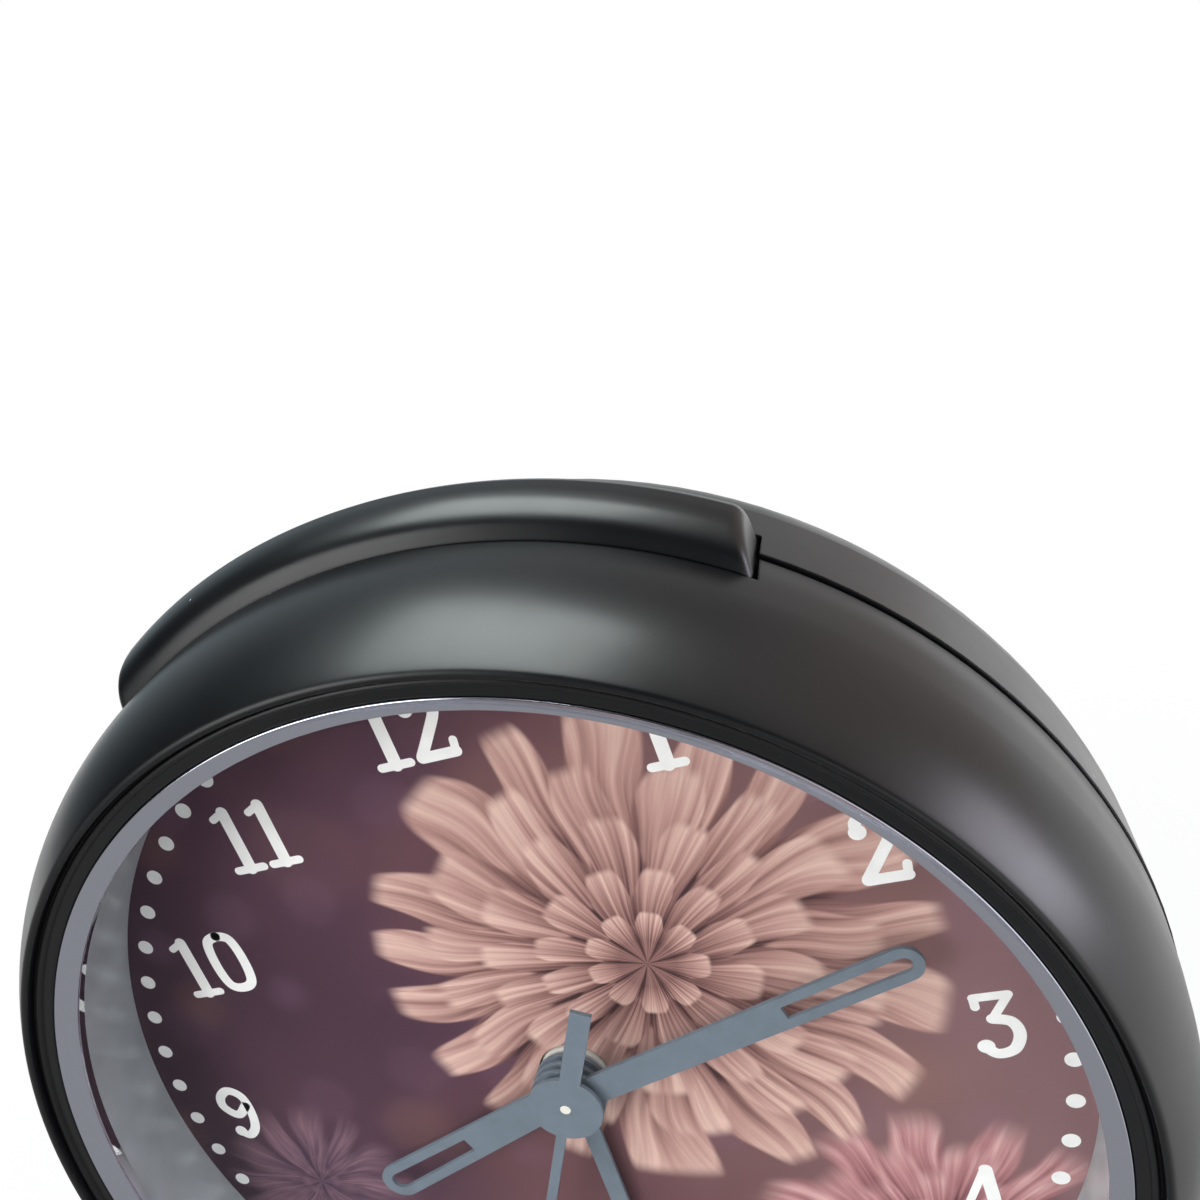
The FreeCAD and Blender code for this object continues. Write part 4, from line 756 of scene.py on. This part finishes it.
def studio_floor():
    """Pale floor that looks white from afar, and dimmer in reflections in front of the clock."""
    bpy.ops.mesh.primitive_plane_add(size=FLOOR_SIZE, location=(0, 0, 0))
    floor = bpy.context.object
    floor.name = "studio_floor"
    material, tree, shader = new_material("pale studio floor", Roughness=0.8)
    shader.inputs["Base Color"].default_value = linear(FLOOR_CODE)
    path = add(tree, "ShaderNodeLightPath").outputs
    place = add(tree, "ShaderNodeTexCoord").outputs["Object"]
    away = add(tree, "ShaderNodeVectorMath", {0: place}, operation="LENGTH").outputs["Value"]
    near = fitted(tree, away, *FLOOR_NEAR, "SMOOTHSTEP")
    parts = axes(tree, place)
    mirrored = calc(tree, "MAXIMUM", fitted(tree, parts["Y"], *FLOOR_BACK, "SMOOTHSTEP"),
                    fitted(tree, parts["X"], *FLOOR_RIGHT, "SMOOTHSTEP"))
    strength = calc(tree, "MAXIMUM", path["Is Camera Ray"], mirrored)
    glow = add(tree, "ShaderNodeEmission", {"Strength": strength})
    share = calc(tree, "MAXIMUM", path["Is Glossy Ray"],
                 calc(tree, "MULTIPLY", path["Is Camera Ray"], near))
    mix = add(tree, "ShaderNodeMixShader",
              {0: share, 1: shader.outputs["BSDF"], 2: glow.outputs["Emission"]})
    tree.links.new(mix.outputs["Shader"], tree.nodes["Material Output"].inputs["Surface"])
    floor.data.materials.append(material)


def surroundings():
    """White to the camera; in reflections, brighter behind, to the right and above."""
    world = bpy.data.worlds.new("white studio")
    bpy.context.scene.world = world
    world.use_nodes = True
    tree = world.node_tree
    tree.nodes.clear()
    path = add(tree, "ShaderNodeLightPath").outputs
    look = axes(tree, add(tree, "ShaderNodeTexCoord").outputs["Generated"])
    behind = fitted(tree, look["Y"], *ROOM_BEHIND, "SMOOTHSTEP")
    beside = calc(tree, "MULTIPLY", fitted(tree, look["X"], *ROOM_RIGHT, "SMOOTHSTEP"),
                  fitted(tree, look["Y"], *ROOM_RIGHT_BACK, "SMOOTHSTEP"))
    above = fitted(tree, look["Z"], *ROOM_ABOVE, "SMOOTHSTEP")
    room = calc(tree, "MAXIMUM", calc(tree, "MAXIMUM", behind, beside), above)
    seen = calc(tree, "MAXIMUM", path["Is Camera Ray"], path["Is Transmission Ray"])
    mirrored = blend(tree, path["Is Glossy Ray"], ROOM_LEVEL, room, data="FLOAT")
    level = blend(tree, seen, mirrored, 1.0, data="FLOAT")
    side = fitted(tree, look["X"], *ROOM_TINT_SPAN)
    tint = blend(tree, side, linear(ROOM_LEFT_CODE), linear(ROOM_RIGHT_CODE))
    colour = blend(tree, seen, tint, linear("#ffffff"))
    glow = add(tree, "ShaderNodeBackground", {"Strength": level, "Color": colour})
    out = add(tree, "ShaderNodeOutputWorld")
    tree.links.new(glow.outputs["Background"], out.inputs["Surface"])


def lamp(name, at, aim, size, power, code):
    """Square soft lamp aimed at a point."""
    data = bpy.data.lights.new(name, "AREA")
    data.size = size * MM
    data.energy = power
    data.color = linear(code)[:3]
    item = bpy.data.objects.new(name, data)
    item.location = spot(*at)
    item.rotation_euler = (spot(*aim) - item.location).to_track_quat("-Z", "Y").to_euler()
    bpy.context.scene.collection.objects.link(item)


def photo_camera():
    """Camera at the photo's viewpoint, turned a little about the dial's axis for the slant."""
    turn = Matrix.Rotation(math.radians(DIAL_TURN), 3, "Y")
    at = turn @ Vector(CAMERA_AT)
    right = (turn @ Vector(CAMERA_RIGHT)).normalized()
    up = -(turn @ Vector(CAMERA_DOWN)).normalized()
    back = right.cross(up).normalized()
    up = back.cross(right)
    data = bpy.data.cameras.new("photo_camera")
    data.lens = CAMERA_LENS
    data.sensor_width = CAMERA_SENSOR
    data.clip_start = CAMERA_CLIP
    item = bpy.data.objects.new("photo_camera", data)
    rotation = Matrix((right, up, back)).transposed().to_4x4()
    item.matrix_world = Matrix.Translation(spot(*at)) @ rotation
    bpy.context.scene.collection.objects.link(item)
    bpy.context.scene.camera = item


MATERIALS = {"black_abs": moulded_abs(), "plated_abs": plated_abs(),
             "clear_acrylic": clear_acrylic(), "printed_card": printed_card(),
             "copper_wire": wound_wire()}
MATERIALS.update({slot: plain(*finish) for slot, finish in FINISHES.items()})
INK = plain(*DIAL_INK)

finish_nodes()
front_case()
front_lugs()
plated_ring()
snooze_press_bar()
clear_lens()
picture_card()
dial_numerals()
minute_dots()
studio_floor()
surroundings()
for fixture in LAMPS:
    lamp(*fixture)
photo_camera()

bpy.context.scene.view_settings.view_transform = "Standard"
